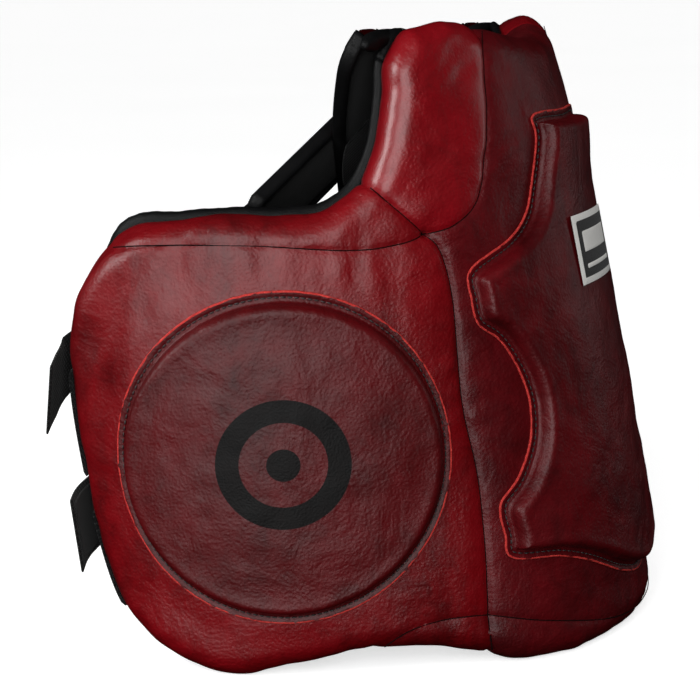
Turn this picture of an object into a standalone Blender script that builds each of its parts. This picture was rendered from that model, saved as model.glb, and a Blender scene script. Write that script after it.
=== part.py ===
"""Trainer's body protector: a padded leather chest and belly shield with two hinged side wings, a raised
centre pad, a round target pad on each wing, crossed shoulder straps and a waist strap.

Metres, +Z up. The wearer faces -Y, so -X is the wearer's right. It stands on its hem, leaning back a little.
Everything padded is laid out on one curved skin: u runs round the body from the front centre, v runs up the
garment, and t is the height above the outer leather (negative goes into the padding).
"""

import math

import bpy
import numpy as np
from mathutils import Vector
from mathutils.geometry import delaunay_2d_cdt

# Driving dimensions
LEAN = math.radians(7.9)  # the garment stands leaning back
SHIFT_Y = -0.0066
SHIFT_Z = -0.067
FRONT_Y = -0.2122  # the skin at the front centre, before the lean
BELLY_SLOPE = 0.0893  # the front comes forward towards the hem
DEPTH = 0.046  # outer leather to inner lining
LEATHER = 0.0016
CLOTH = 0.0014
GAP = 0.0006
FACE_ROUND = 0.024  # how far in from the edge the padding starts to round over
EDGE_LEVEL = 0.0235  # how deep the widest point of the rounded edge lies
BACK_ROUND = 0.012
FOAM_SKIN = LEATHER + 0.0015  # how far inside the outer leather the foam's surface lies
PAD_RISE = 0.0140  # how far the raised pads stand out
FLANGE = 0.008  # the stitched rim round a raised pad
FLANGE_RISE = 0.0017
STEP_U = 0.022
STEP_V = 0.050
EDGE_STEP = 0.027
FACE_ANGLES = (0.0, 35.0, 65.0, 90.0)
BACK_ANGLES = (30.0, 60.0, 80.0)

HINGE_U = 0.176  # the seam where each wing folds
TARGET_U, TARGET_V, TARGET_R = 0.3285, 0.2525, 0.135
LABEL_HALF_W, LABEL_V, LABEL_H = 0.041, 0.375, 0.059

# Half of the garment's outline, hem centre to neck centre, as (u, v) with named corners
OUTLINE = [
    ("hem_centre", 0.000, 0.0375),
    ("", 0.050, 0.0375),
    ("", 0.102, 0.0385),
    ("", 0.145, 0.0440),
    ("hem_split", HINGE_U, 0.0535),
    ("", 0.210, 0.0680),
    ("", 0.250, 0.0780),
    ("", 0.298, 0.0795),
    ("", 0.340, 0.0745),
    ("", 0.389, 0.0705),
    ("", 0.428, 0.0830),
    ("", 0.467, 0.1080),
    ("lower_corner", 0.495, 0.1420),
    ("", 0.510, 0.1950),
    ("", 0.516, 0.2550),
    ("", 0.517, 0.3100),
    ("", 0.509, 0.3600),
    ("upper_corner", 0.489, 0.4000),
    ("", 0.455, 0.4340),
    ("", 0.410, 0.4490),
    ("", 0.350, 0.4490),
    ("", 0.300, 0.4430),
    ("", 0.265, 0.4440),
    ("arm_split", 0.237, 0.4600),
    ("", 0.2175, 0.4900),
    ("", 0.2060, 0.5250),
    ("", 0.1980, 0.5520),
    ("", 0.1760, 0.5715),
    ("", 0.1450, 0.5760),
    ("", 0.1120, 0.5750),
    ("neck_split", 0.0850, 0.5700),
    ("", 0.0520, 0.5640),
    ("", 0.0250, 0.5595),
    ("neck_centre", 0.000, 0.5580),
]
ARM_JUNCTION = (0.190, 0.413)  # where the four front seams meet
SHOULDER_SEAM = [(0.161, 0.417), (0.133, 0.433), (0.117, 0.470), (0.102, 0.525)]

# Half of the raised centre pad's outline, top centre to bottom centre
CENTRE_PAD = [
    (0.000, 0.4920), (0.055, 0.4920), (0.0575, 0.4740), (0.069, 0.4320), (0.082, 0.4120), (0.106, 0.3970),
    (0.153, 0.3800), (0.157, 0.3560), (0.154, 0.3350), (0.136, 0.3190), (0.122, 0.2920), (0.1165, 0.2630),
    (0.1225, 0.2330), (0.140, 0.2050), (0.160, 0.1860), (0.160, 0.1600), (0.157, 0.1400), (0.115, 0.1300),
    (0.082, 0.1160), (0.040, 0.0930), (0.000, 0.0820),
]

# The back straps, for the strap that starts at the wearer's right shoulder
STRAP_START = Vector((-0.125, -0.0160, 0.517))
STRAP_TOP = Vector((-0.112, -0.0100, 0.497))
STRAP_END = Vector((0.1185, 0.0814, 0.345))
STRAP_HALF_W = 0.041
STRAP_THICK = 0.0095
STRAP_LIFT = 0.0135  # the other strap passes over this one
WEB_THICK = 0.0018
TAIL_HALF_W = 0.031
TAIL_POINTS = [(0.233, 0.2134, 0.242), (0.262, 0.2074, 0.231), (0.288, 0.1968, 0.225)]
KEEPER_HALF_W, KEEPER_HALF_H = 0.075, 0.062
SHOULDER_AXIS_Y, SHOULDER_AXIS_Z = -0.0212, 0.516
WAIST_LOW, WAIST_HIGH = 0.082, 0.144
WAIST_PLAN = [(0.289, 0.1754), (0.264, 0.1874), (0.236, 0.1954), (0.160, 0.2114), (0.080, 0.2204), (0.0, 0.2234),
              (-0.080, 0.2204), (-0.160, 0.2114), (-0.236, 0.1954), (-0.264, 0.1874), (-0.289, 0.1754)]

OXBLOOD = (0.105, 0.008, 0.012)
DEEP_RED = (0.060, 0.009, 0.011)
BLACK_LEATHER = (0.010, 0.010, 0.011)
BLACK_CLOTH = (0.014, 0.014, 0.015)
FOAM_GREY = (0.110, 0.110, 0.120)
LABEL_WHITE = (0.550, 0.540, 0.520)
BLACK_METAL = (0.020, 0.020, 0.022)


# Materials and objects

def material(name, colour, roughness, metallic=0.0):
    made = bpy.data.materials.new(name)
    made.use_nodes = True
    shader = made.node_tree.nodes["Principled BSDF"]
    shader.inputs["Base Color"].default_value = (*colour, 1.0)
    shader.inputs["Roughness"].default_value = roughness
    shader.inputs["Metallic"].default_value = metallic
    made.diffuse_color = (*colour, 1.0)
    return made


def pivot(name, place):
    """An empty on a joint's axis, for the pieces that turn or slide with it."""
    empty = bpy.data.objects.new(name, None)
    empty.location = place
    bpy.context.collection.objects.link(empty)
    return empty


def add_object(name, points, faces, finish, parent=None, smooth=True):
    """A mesh object from world points, placed at its parent's origin."""
    origin = parent.location if parent else Vector((0.0, 0.0, 0.0))
    mesh = bpy.data.meshes.new(name)
    mesh.from_pydata([tuple(Vector(p) - origin) for p in points], [], [tuple(int(i) for i in f) for f in faces])
    mesh.validate()
    turn_outward(mesh)
    mesh.materials.append(finish)
    if smooth:
        mesh.shade_smooth()
        mesh.set_sharp_from_angle(angle=math.radians(40))
    made = bpy.data.objects.new(name, mesh)
    made.parent = parent
    bpy.context.collection.objects.link(made)
    return made


def turn_outward(mesh):
    """Flips every face when the closed mesh's signed volume is negative."""
    mesh.calc_loop_triangles()
    corners = np.array([[mesh.vertices[i].co for i in tri.vertices] for tri in mesh.loop_triangles])
    if np.linalg.det(corners).sum() < 0:
        mesh.flip_normals()


# The curved skin

def ease(low, high, value):
    x = np.clip((value - low) / (high - low), 0.0, 1.0)
    return x * x * (3.0 - 2.0 * x)


def plan_curve(length=0.62, steps=1240):
    """The skin's level curve from the front centre, by adding up its curvature: arc, x, y and heading."""
    arc = np.linspace(0.0, length, steps + 1)
    bend = 4.72 - 0.16 * ease(0.05, 0.10, arc) - 2.70 * ease(0.16, 0.21, arc) + 6.14 * ease(0.40, 0.46, arc)
    step = arc[1] - arc[0]

    def summed(values):
        return np.concatenate([[0.0], np.cumsum((values[1:] + values[:-1]) / 2 * step)])

    heading = summed(bend)
    return arc, summed(np.cos(heading)), summed(np.sin(heading)) + FRONT_Y, heading


ARC, PLAN_X, PLAN_Y, HEADING = plan_curve()


def skin(u, v, t, floor=0.0):
    """World points for skin coordinates; nothing goes below the floor level it stands on."""
    u, v, t = np.broadcast_arrays(*(np.asarray(a, float) for a in (u, v, t)))
    side = np.where(u < 0, -1.0, 1.0)
    reach = np.abs(u)
    heading = np.interp(reach, ARC, HEADING)
    front = 1.0 - ease(0.08, 0.24, reach)
    x = side * (np.interp(reach, ARC, PLAN_X) + t * np.sin(heading))
    y = np.interp(reach, ARC, PLAN_Y) - t * np.cos(heading) + BELLY_SLOPE * (v - 0.25) * front
    z = -y * math.sin(LEAN) + v * math.cos(LEAN) + SHIFT_Z
    y = y * math.cos(LEAN) + v * math.sin(LEAN) + SHIFT_Y
    return np.stack([x, y, np.maximum(z, floor)], axis=-1)


def skin_axis(u):
    """Foot and direction of the upright line at u on the skin, which the wings fold about."""
    foot, head = skin([u, u], [0.05, 0.41], 0.0, -1.0)
    return Vector(foot), Vector(head - foot).normalized()


# Outlines

def curve_through(points, step, closed=False):
    """A smooth line through the points, with a sample every step or so; also where each point falls."""
    points = np.asarray(points, float)
    count = len(points)
    line, places = [], []
    for i in range(count if closed else count - 1):
        a, b, c, d = (points[(i + k) % count] if closed else points[min(max(i + k, 0), count - 1)]
                      for k in (-1, 0, 1, 2))
        pieces = max(1, math.ceil(np.linalg.norm(c - b) / step))
        places.append(len(line))
        for s in np.arange(pieces) / pieces:
            line.append(0.5 * (2 * b + (c - a) * s + (2 * a - 5 * b + 4 * c - d) * s**2
                               + (3 * b - a - 3 * c + d) * s**3))
    if not closed:
        places.append(len(line))
        line.append(points[-1])
    return np.array(line), places


def garment_outline():
    """The whole outline as a closed line, anticlockwise seen from outside, and its named corners."""
    left = [(u, v) for _, u, v in OUTLINE]
    right = [(-u, v) for _, u, v in reversed(OUTLINE[1:-1])]
    line, places = curve_through(left + right, EDGE_STEP, closed=True)
    last = len(left) + len(right)
    corners = {}
    for i, (name, _, _) in enumerate(OUTLINE):
        if name:
            corners["left_" + name] = places[i]
            corners["right_" + name] = places[(last - i) % last]
    return line, corners


EDGE, CORNER = garment_outline()


def inward(line, closed=True):
    """Unit normals pointing to the left of the line's direction."""
    if closed:
        along = np.roll(line, -1, axis=0) - np.roll(line, 1, axis=0)
    else:
        along = np.gradient(line, axis=0)
    normal = np.stack([-along[:, 1], along[:, 0]], axis=1)
    return normal / np.linalg.norm(normal, axis=1, keepdims=True)


EDGE_IN = inward(EDGE)
for hem_split in ("left_hem_split", "right_hem_split"):
    EDGE_IN[CORNER[hem_split]] = (0.0, 1.0)  # square to the wings' fold


def edge_run(first, last, gap=0.0004):
    """The outline from one named corner to another, each end pulled in by gap, and its inward normals."""
    start, end = CORNER[first], CORNER[last]
    if end <= start:
        end += len(EDGE)
    run = np.arange(start, end + 1) % len(EDGE)
    line = EDGE[run].copy()
    for tip, near in ((0, 1), (-1, -2)):
        along = line[near] - line[tip]
        line[tip] += gap * along / np.linalg.norm(along)
    return line, EDGE_IN[run]


def inset_run(first, last, depth):
    line, normals = edge_run(first, last, 0.0)
    return line + depth * normals


def edge_distance(points, line, closed=True):
    """How far each point lies from the line."""
    points = np.asarray(points, float)
    starts = line if closed else line[:-1]
    ends = np.roll(line, -1, axis=0) if closed else line[1:]
    along = ends - starts
    size = (along**2).sum(axis=1)
    s = ((points[:, None, :] - starts) * along).sum(axis=2) / size
    nearest = starts + np.clip(s, 0.0, 1.0)[:, :, None] * along
    return np.linalg.norm(points[:, None, :] - nearest, axis=2).min(axis=1)


def inside(points, loop):
    """Which points lie inside the closed loop."""
    points = np.asarray(points, float)
    x, y = points[:, 0:1], points[:, 1:2]
    x0, y0 = loop[:, 0], loop[:, 1]
    x1, y1 = np.roll(x0, -1), np.roll(y0, -1)
    straddles = (y0 > y) != (y1 > y)
    height = np.where(y1 == y0, 1.0, y1 - y0)
    return (straddles & (x < (x1 - x0) * (y - y0) / height + x0)).sum(axis=1) % 2 == 1


# Solids on the skin

def triangulate(loop, lines=(), hole=None, clearance=0.007, grid=(STEP_U, STEP_V)):
    """Triangles over a region of the skin, following the given lines, with a regular grid inside."""
    points = [tuple(p) for p in loop]
    edges = [(i, (i + 1) % len(loop)) for i in range(len(loop))]
    for line in lines:
        keep = inside(line, loop) & (edge_distance(line, loop) > 0.0012)
        previous = None
        for place, ok in zip(line, keep):
            if ok:
                points.append(tuple(place))
                if previous is not None:
                    edges.append((previous, len(points) - 1))
            previous = len(points) - 1 if ok else None
    low, high = loop.min(axis=0), loop.max(axis=0)
    us = np.arange(math.floor(low[0] / grid[0]), math.ceil(high[0] / grid[0]) + 1) * grid[0]
    vs = np.arange(math.floor(low[1] / grid[1]), math.ceil(high[1] / grid[1]) + 1) * grid[1]
    spots = np.array([(u, v + 0.5 * grid[1] * (round(u / grid[0]) % 2)) for u in us for v in vs])
    spots = spots[inside(spots, loop)]
    apart = np.linalg.norm(spots[:, None, :] - np.array(points), axis=2).min(axis=1) if len(spots) else []
    points += [tuple(p) for p, gap in zip(spots, apart) if gap > clearance]
    made = delaunay_2d_cdt([Vector(p) for p in points], edges, [], 1, 1e-7)
    places = np.array([tuple(p) for p in made[0]])
    triangles = [tuple(f) for f in made[2]]
    if hole is not None:
        centres = np.array([places[list(t)].mean(axis=0) for t in triangles])
        triangles = [t for t, out in zip(triangles, ~hole(centres)) if out]
    return places, triangles


def slab(loop, top, bottom, lines=(), hole=None, floor=(0.0, 0.0), grid=(STEP_U, STEP_V)):
    """A closed solid between two heights over a region. The heights are numbers or functions of the place."""
    places, triangles = triangulate(loop, lines, hole, grid=grid)
    heights = [h(places) if callable(h) else np.full(len(places), h) for h in (top, bottom)]
    points = np.vstack([skin(places[:, 0], places[:, 1], heights[0], floor[0]),
                        skin(places[:, 0], places[:, 1], heights[1], floor[1])])
    count = len(places)
    faces = list(triangles) + [(c + count, b + count, a + count) for a, b, c in triangles]
    for a, b in open_edges(triangles):
        faces.append((b, a, a + count, b + count))
    return points, faces


def open_edges(triangles):
    """Edges that belong to one triangle, in that triangle's direction."""
    ends = set()
    for a, b, c in triangles:
        ends.update([(a, b), (b, c), (c, a)])
    return [(a, b) for a, b in ends if (b, a) not in ends]


def shell_strip(outer, inner):
    """A thin closed shell from two matching grids of world points, rows by columns."""
    rows, columns = outer.shape[:2]
    points = np.vstack([outer.reshape(-1, 3), inner.reshape(-1, 3)])
    offset = rows * columns

    def at(i, j, layer):
        return i * columns + j + layer * offset

    faces = []
    for i in range(rows - 1):
        for j in range(columns - 1):
            faces.append((at(i, j, 0), at(i, j + 1, 0), at(i + 1, j + 1, 0), at(i + 1, j, 0)))
            faces.append((at(i, j, 1), at(i + 1, j, 1), at(i + 1, j + 1, 1), at(i, j + 1, 1)))
    for i in range(rows - 1):
        faces.append((at(i, 0, 0), at(i + 1, 0, 0), at(i + 1, 0, 1), at(i, 0, 1)))
        faces.append((at(i, columns - 1, 0), at(i, columns - 1, 1), at(i + 1, columns - 1, 1),
                      at(i + 1, columns - 1, 0)))
    for j in range(columns - 1):
        faces.append((at(0, j, 0), at(0, j, 1), at(0, j + 1, 1), at(0, j + 1, 0)))
        faces.append((at(rows - 1, j, 0), at(rows - 1, j + 1, 0), at(rows - 1, j + 1, 1),
                      at(rows - 1, j, 1)))
    return points, faces


def edge_profile(offset, face_angles=FACE_ANGLES, back_angles=BACK_ANGLES):
    """The rounded edge's section as (inset, height): over the face's rounding, then round to the lining."""
    section = []
    for angle in np.radians(face_angles):
        section.append((FACE_ROUND - (FACE_ROUND + offset) * math.sin(angle),
                        (EDGE_LEVEL + offset) * math.cos(angle) - EDGE_LEVEL))
    back_depth = DEPTH - 0.0010 - EDGE_LEVEL
    for angle in np.radians(back_angles):
        section.append((BACK_ROUND - (BACK_ROUND + offset) * math.cos(angle),
                        -EDGE_LEVEL - (back_depth + offset) * math.sin(angle)))
    return np.array(section)


def swept_edge(run, section, floor):
    """World points of a section carried along a run of the outline."""
    line, normals = run
    places = line[:, None, :] + section[None, :, 0:1] * normals[:, None, :]
    return skin(places[..., 0], places[..., 1], np.broadcast_to(section[:, 1], places.shape[:2]), floor)


def band(run, outer_offset=0.0, thickness=LEATHER, **profile):
    """A strip that wraps the rounded edge along a run of the outline."""
    outer = swept_edge(run, edge_profile(outer_offset, **profile), 0.0)
    inner = swept_edge(run, edge_profile(outer_offset - thickness, **profile), thickness)
    return shell_strip(outer, inner)


def tube(centres, section, closed=False):
    """A closed tube: section(i) gives the ring of world points round centre i."""
    rings = np.array([section(i) for i in range(len(centres))])
    rows, columns = rings.shape[:2]
    faces = []
    for i in range(rows if closed else rows - 1):
        for j in range(columns):
            a, b = i * columns + j, i * columns + (j + 1) % columns
            c = (i + 1) % rows * columns
            faces.append((a, b, c + (j + 1) % columns, c + j))
    if not closed:
        faces.append(tuple(reversed(range(columns))))
        faces.append(tuple(range((rows - 1) * columns, rows * columns)))
    return rings.reshape(-1, 3), faces


def rolled_edge(run, inset, height, half_wide, half_high, sides=6):
    """The rolled binding along a run of the outline, as an oval tube beside the lining's edge."""
    angles = np.arange(sides) * 2 * math.pi / sides
    line, normal = run

    def ring(i):
        depth = inset + half_wide * np.cos(angles)
        places = line[i] + depth[:, None] * normal[i]
        return skin(places[:, 0], places[:, 1], height + half_high * np.sin(angles), 0.0004)

    return tube(line, ring)


# Regions

def split_line(side, gap):
    """The fold seam from the hem up to the junction, then out to the armhole, moved towards the wing by gap."""
    hem, hem_in = EDGE[CORNER["left_hem_split"]], EDGE_IN[CORNER["left_hem_split"]]
    arm, arm_in = EDGE[CORNER["left_arm_split"]], EDGE_IN[CORNER["left_arm_split"]]
    depths = [FOAM_SKIN + 0.0003] + edge_depths()[::-1]
    points = [hem + d * hem_in for d in depths]
    points += [(HINGE_U, v) for v in np.arange(2, 9) * STEP_V]
    points += [ARM_JUNCTION] + [arm + d * arm_in for d in reversed(depths)]
    line = corner_line(np.array(points), STEP_U, closed=False)
    return (line - gap * inward(line, closed=False)) * (side, 1.0)


def wing_loop(side, depth, gap):
    """The wing's region, inset from the outline by depth and from the seam by gap."""
    line = inset_run("left_hem_split", "left_arm_split", depth)[1:-1] * (side, 1.0)
    split = split_line(side, gap)
    split = split[np.abs(edge_distance(split, EDGE)) > depth + 0.0002]
    return np.vstack([line, split[::-1]])


def chest_loop(depth, gap):
    """The chest's region between the two wings."""
    hem = inset_run("right_hem_split", "left_hem_split", depth)[1:-1]
    top = inset_run("left_arm_split", "right_arm_split", depth)[1:-1]
    splits = []
    for side in (1, -1):
        split = split_line(side, -gap)
        splits.append(split[np.abs(edge_distance(split, EDGE)) > depth + 0.0002])
    return np.vstack([hem, splits[0], top, splits[1][::-1]])


def edge_depths():
    """How far in from the outline the foam's rounded edge turns, level with the turns of the bands over it."""
    return [FACE_ROUND - (FACE_ROUND - FOAM_SKIN) * math.sin(math.radians(a)) for a in FACE_ANGLES[:-1]]


def foam_top(places):
    d = np.minimum(edge_distance(places, EDGE), FACE_ROUND)
    x = np.clip((FACE_ROUND - d) / (FACE_ROUND - FOAM_SKIN), 0.0, 0.9985)
    return (EDGE_LEVEL - FOAM_SKIN) * np.sqrt(1.0 - x**2) - EDGE_LEVEL


def foam_bottom(places):
    d = np.minimum(edge_distance(places, EDGE), BACK_ROUND)
    x = np.clip((BACK_ROUND - d) / (BACK_ROUND - FOAM_SKIN), 0.0, 0.9985)
    depth = DEPTH - 0.0034 - EDGE_LEVEL
    return -EDGE_LEVEL - depth * np.sqrt(1.0 - x**2)


def foam_lines():
    lines = [EDGE + d * EDGE_IN for d in edge_depths()]
    return [np.vstack([line, line[:1]]) for line in lines]


# Raised pads

def pad_edge(loop):
    """Lines at the insets where a raised pad's rim changes."""
    normals = inward(loop)
    lines = [loop + d * normals for d in (FLANGE, FLANGE + 0.0012, FLANGE + 0.0045, FLANGE + 0.0130)]
    return [np.vstack([line, line[:1]]) for line in lines]


def rim(depth, start, width, low, high):
    """Height of a rounded rim that rises from low at start to high."""
    x = np.clip((depth - start) / width, 0.0, 1.0)
    return low + (high - low) * np.sqrt(1.0 - (1.0 - x) ** 2.5)


def pad_cover(loop):
    def top(places):
        return rim(edge_distance(places, loop), FLANGE, 0.013, FLANGE_RISE, PAD_RISE)

    def bottom(places):
        return rim(edge_distance(places, loop), FLANGE + 0.0014, 0.0118, GAP, PAD_RISE - 0.0016)

    return slab(loop, top, bottom, pad_edge(loop))


def pad_foam(loop):
    core = loop + (FLANGE + 0.0048) * inward(loop)
    lines = [loop + (FLANGE + 0.0130) * inward(loop)]

    def top(places):
        depth = edge_distance(places, loop)
        return rim(depth, FLANGE + 0.0020, 0.0120, GAP, PAD_RISE - 0.0021)

    return slab(core, top, GAP, [np.vstack([line, line[:1]]) for line in lines])


def circle(centre, radius, count=40):
    angles = np.arange(count) * 2 * math.pi / count
    return np.stack([centre[0] + radius * np.cos(angles), centre[1] + radius * np.sin(angles)], axis=1)


def centre_pad_loop():
    half = np.array(CENTRE_PAD)
    right = half[1:-1][::-1] * (-1.0, 1.0)
    # Down the left half, then up the right one, turned to run anticlockwise
    points = np.vstack([half, right])[::-1]
    return corner_line(points, EDGE_STEP)


def corner_line(points, step, closed=True):
    """A line with straight stretches between the points, sampled every step."""
    line = []
    for a, b in zip(points, np.roll(points, -1, axis=0) if closed else points[1:]):
        pieces = max(1, math.ceil(np.linalg.norm(b - a) / step))
        line += [a + (b - a) * s for s in np.arange(pieces) / pieces]
    return np.array(line if closed else line + [points[-1]])


# Straps

def ribbon(centres, half_widths, normals, low, high):
    """A flat strap along the centres, from low to high along the normals."""
    corners = []
    for level in (high, low):
        middle = np.array(centres) + level * np.array(normals)
        corners.append(np.stack([middle - half_widths, middle + half_widths], axis=1))
    return shell_strip(corners[0], corners[1])


def ribbon_normals(centres, half_widths):
    centres, half_widths = np.array(centres, float), np.array(half_widths, float)
    along = np.gradient(centres, axis=0)
    normal = np.cross(along, half_widths)
    normal /= np.linalg.norm(normal, axis=1, keepdims=True)
    return normal


def strap_frame(side, pieces=10):
    """Centres, half widths and normals of a padded strap; side -1 starts at the wearer's right shoulder."""
    centres = [STRAP_START.lerp(STRAP_TOP, 0.0)]
    centres += [STRAP_TOP.lerp(STRAP_END, s) for s in np.linspace(0.0, 1.0, pieces)]
    down = (STRAP_END - STRAP_TOP).normalized()
    level = Vector((-1.0, 0.0, 0.0))
    across = (level - down * level.dot(down)).normalized()
    widths = [level * 0.056]
    widths += [(level.lerp(across, min(1.0, s * 3.0))).normalized() * (0.056 + (STRAP_HALF_W - 0.056) * min(1.0, s * 3.0))
               for s in np.linspace(0.0, 1.0, pieces)]
    centres, widths = np.array(centres), np.array(widths)
    normals = ribbon_normals(centres, widths)
    normals *= np.sign(normals[:, 1:2])
    if side > 0:
        mirror = np.array([-1.0, 1.0, 1.0])
        centres, widths, normals = centres * mirror, widths * mirror, normals * mirror
        lift = STRAP_LIFT * np.concatenate([[0.35, 0.85], np.ones(pieces - 1)])
        centres = centres + lift[:, None] * normals[pieces // 2]
    return centres, widths, normals


def tail_frame(side):
    """Centres, half widths and normals of the webbing that runs from a padded strap to the far wing."""
    centres, widths, normals = strap_frame(side)
    start = centres[-3] + normals[-3] * (STRAP_THICK + LEATHER + 0.0011)
    seam = centres[-1] + normals[-1] * (STRAP_THICK + LEATHER + 0.0011)
    mirror = np.array([-side, 1.0, 1.0])
    far = [np.array(p) * mirror for p in TAIL_POINTS]
    middle = [seam + (far[0] - seam) * s for s in (0.25, 0.5, 0.75)]
    path = [start, seam] + middle + far
    first = widths[-1] / np.linalg.norm(widths[-1])
    last = np.array([0.10 * mirror[0], 0.10, -0.99])
    turn = [0.0, 0.0, 0.0, 0.0, 0.0, 0.35, 0.8, 1.0]
    across = []
    for i, s in enumerate(turn):
        along = path[min(i + 1, len(path) - 1)] - path[max(i - 1, 0)]
        along = along / np.linalg.norm(along)
        wide = first * (1.0 - s) + last * s
        wide = wide - along * wide.dot(along)
        across.append(wide / np.linalg.norm(wide) * TAIL_HALF_W)
    path, across = np.array(path), np.array(across)
    out = ribbon_normals(path, across)
    return path, across, out * np.sign(out[:, 1:2])


def sleeve(centre, along, across, out, half_w, half_h, wall, length):
    """A rectangular loop round a strap: an open frame, long along the strap."""
    rings = []
    for s, grow in ((-1, 0.0), (1, 0.0), (1, wall), (-1, wall)):
        ring = []
        for a, b in ((1, 1), (-1, 1), (-1, -1), (1, -1)):
            ring.append(centre + along * s * length / 2 + across * a * (half_w + grow) + out * b * (half_h + grow))
        rings.append(ring)
    return tube(rings, lambda i: np.array(rings[i]), closed=True)


def waist_strap_frame():
    """The waist strap's centre line across the back, and its upright half widths."""
    line, _ = curve_through([(x, y) for x, y in WAIST_PLAN], 0.03)
    middle = (WAIST_LOW + WAIST_HIGH) / 2
    half = (WAIST_HIGH - WAIST_LOW) / 2
    up = np.array([0.0, math.sin(LEAN), math.cos(LEAN)])
    centres = np.array([(x, y, middle) for x, y in line])
    widths = np.tile(up * half, (len(centres), 1))
    normals = ribbon_normals(centres, widths)
    return centres, widths, normals * np.sign(normals[:, 1:2])


# The garment's parts

def build_chest(finish):
    region = chest_loop(FOAM_SKIN + 0.0001, 0.0004)
    add_object("chest_foam", *slab(region, foam_top, foam_bottom, foam_lines(), floor=(0.0048, 0.0048)),
               finish["foam"])
    build_front_panels(finish)
    for name, first, last, leather in (("front_hem_band", "right_hem_split", "left_hem_split", "deep_red"),
                                       ("neck_band", "left_neck_split", "right_neck_split", "oxblood"),
                                       ("left_armhole_band", "left_arm_split", "left_neck_split", "oxblood"),
                                       ("right_armhole_band", "right_neck_split", "right_arm_split", "oxblood")):
        add_object(name, *band(edge_run(first, last)), finish[leather])
    lining = chest_loop(BACK_ROUND + 0.0035, 0.0004)
    add_object("chest_lining", *slab(lining, CLOTH - DEPTH, -DEPTH, floor=(0.0024, 0.0)), finish["lining"])
    build_binding("front_hem_binding", edge_run("right_hem_split", "left_hem_split"), finish, None)
    build_binding("chest_top_binding", edge_run("left_arm_split", "right_arm_split"), finish, None)


def build_binding(name, run, finish, parent):
    add_object(name, *rolled_edge(run, 0.0100, -DEPTH - 0.0017, 0.0046, 0.0030), finish["binding"], parent)


def build_front_panels(finish):
    """The front panel and the two glossy shoulder panels that meet it along curved seams."""
    flat = FACE_ROUND + 0.0003
    seam, _ = curve_through([ARM_JUNCTION] + SHOULDER_SEAM, 0.02)
    neck = inset_run("left_neck_split", "right_neck_split", flat)
    seam = np.vstack([seam, neck[:1]])
    hem = inset_run("right_hem_split", "left_hem_split", flat)[1:-1]
    split = np.array([(HINGE_U, v) for v in np.arange(2, 9) * STEP_V])
    split = split[edge_distance(split, EDGE) > flat + 0.002]
    gap = 0.0003
    left = np.vstack([split - (gap, 0.0), seam + gap * inward(seam, closed=False)])
    right = left[::-1] * (-1.0, 1.0)
    add_object("front_panel", *slab(np.vstack([hem, left, neck[1:-1], right]), 0.0, -LEATHER),
               finish["deep_red"])
    armhole = inset_run("left_arm_split", "left_neck_split", flat)[1:-1]
    outer = seam - gap * inward(seam, closed=False)
    shoulder = np.vstack([armhole, outer[::-1]])
    for side, name in ((1, "left"), (-1, "right")):
        add_object(f"{name}_shoulder_panel", *slab(shoulder * (side, 1.0), 0.0, -LEATHER), finish["oxblood"])


def build_centre_pad(finish):
    loop = centre_pad_loop()
    add_object("centre_pad_cover", *pad_cover(loop), finish["deep_red"])
    add_object("centre_pad_foam", *pad_foam(loop), finish["foam"])
    low, high = LABEL_V - LABEL_H / 2, LABEL_V + LABEL_H / 2
    corners = np.array([(-LABEL_HALF_W, low), (LABEL_HALF_W, low), (LABEL_HALF_W, high), (-LABEL_HALF_W, high)])
    patch = corner_line(corners, 0.015)
    add_object("label_patch", *slab(patch, PAD_RISE + 0.0014, PAD_RISE + GAP), finish["label"])


def build_wing(side, finish, parent):
    name = "left" if side > 0 else "right"

    def run(first, last):
        if side > 0:
            return edge_run("left_" + first, "left_" + last)
        return edge_run("right_" + last, "right_" + first)

    region = wing_loop(side, FOAM_SKIN + 0.0001, 0.0004)
    add_object(f"{name}_wing_foam", *slab(region, foam_top, foam_bottom, foam_lines(), floor=(0.0048, 0.0048)),
               finish["foam"], parent)
    panel = wing_loop(side, FACE_ROUND + 0.0003, 0.0003)
    add_object(f"{name}_side_panel", *slab(panel, 0.0, -LEATHER), finish["oxblood"], parent)
    lining = wing_loop(side, BACK_ROUND + 0.0035, 0.0004)
    add_object(f"{name}_wing_lining", *slab(lining, CLOTH - DEPTH, -DEPTH, floor=(0.0024, 0.0)),
               finish["lining"], parent)
    for part, first, last in (("hem_band", "hem_split", "lower_corner"), ("rear_band", "lower_corner", "upper_corner"),
                              ("top_band", "upper_corner", "arm_split")):
        add_object(f"{name}_{part}", *band(run(first, last)), finish["oxblood"], parent)
    build_binding(f"{name}_wing_binding", run("hem_split", "arm_split"), finish, parent)
    build_target(side, name, finish, parent)
    build_landings(side, name, finish, parent, run)


def build_target(side, name, finish, parent):
    centre = (side * TARGET_U, TARGET_V)
    loop = circle(centre, TARGET_R)
    add_object(f"{name}_target_cover", *pad_cover(loop), finish["oxblood"], parent)
    add_object(f"{name}_target_foam", *pad_foam(loop), finish["foam"], parent)
    build_target_mark(centre, name, finish, parent)


def build_target_mark(centre, name, finish, parent):
    """A plain aiming ring, pressed on in black."""
    outer = circle(centre, 0.050, 32)
    middle = circle(centre, 0.036, 32)

    def hole(places):
        return np.linalg.norm(places - centre, axis=1) < 0.036

    points, faces = slab(outer, PAD_RISE + 0.0009, PAD_RISE + GAP, [np.vstack([middle, middle[:1]])], hole)
    used = sorted({i for f in faces for i in f})
    renumber = {old: new for new, old in enumerate(used)}
    add_object(f"{name}_target_ring", points[used], [[renumber[i] for i in f] for f in faces],
               finish["mark"], parent)


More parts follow.
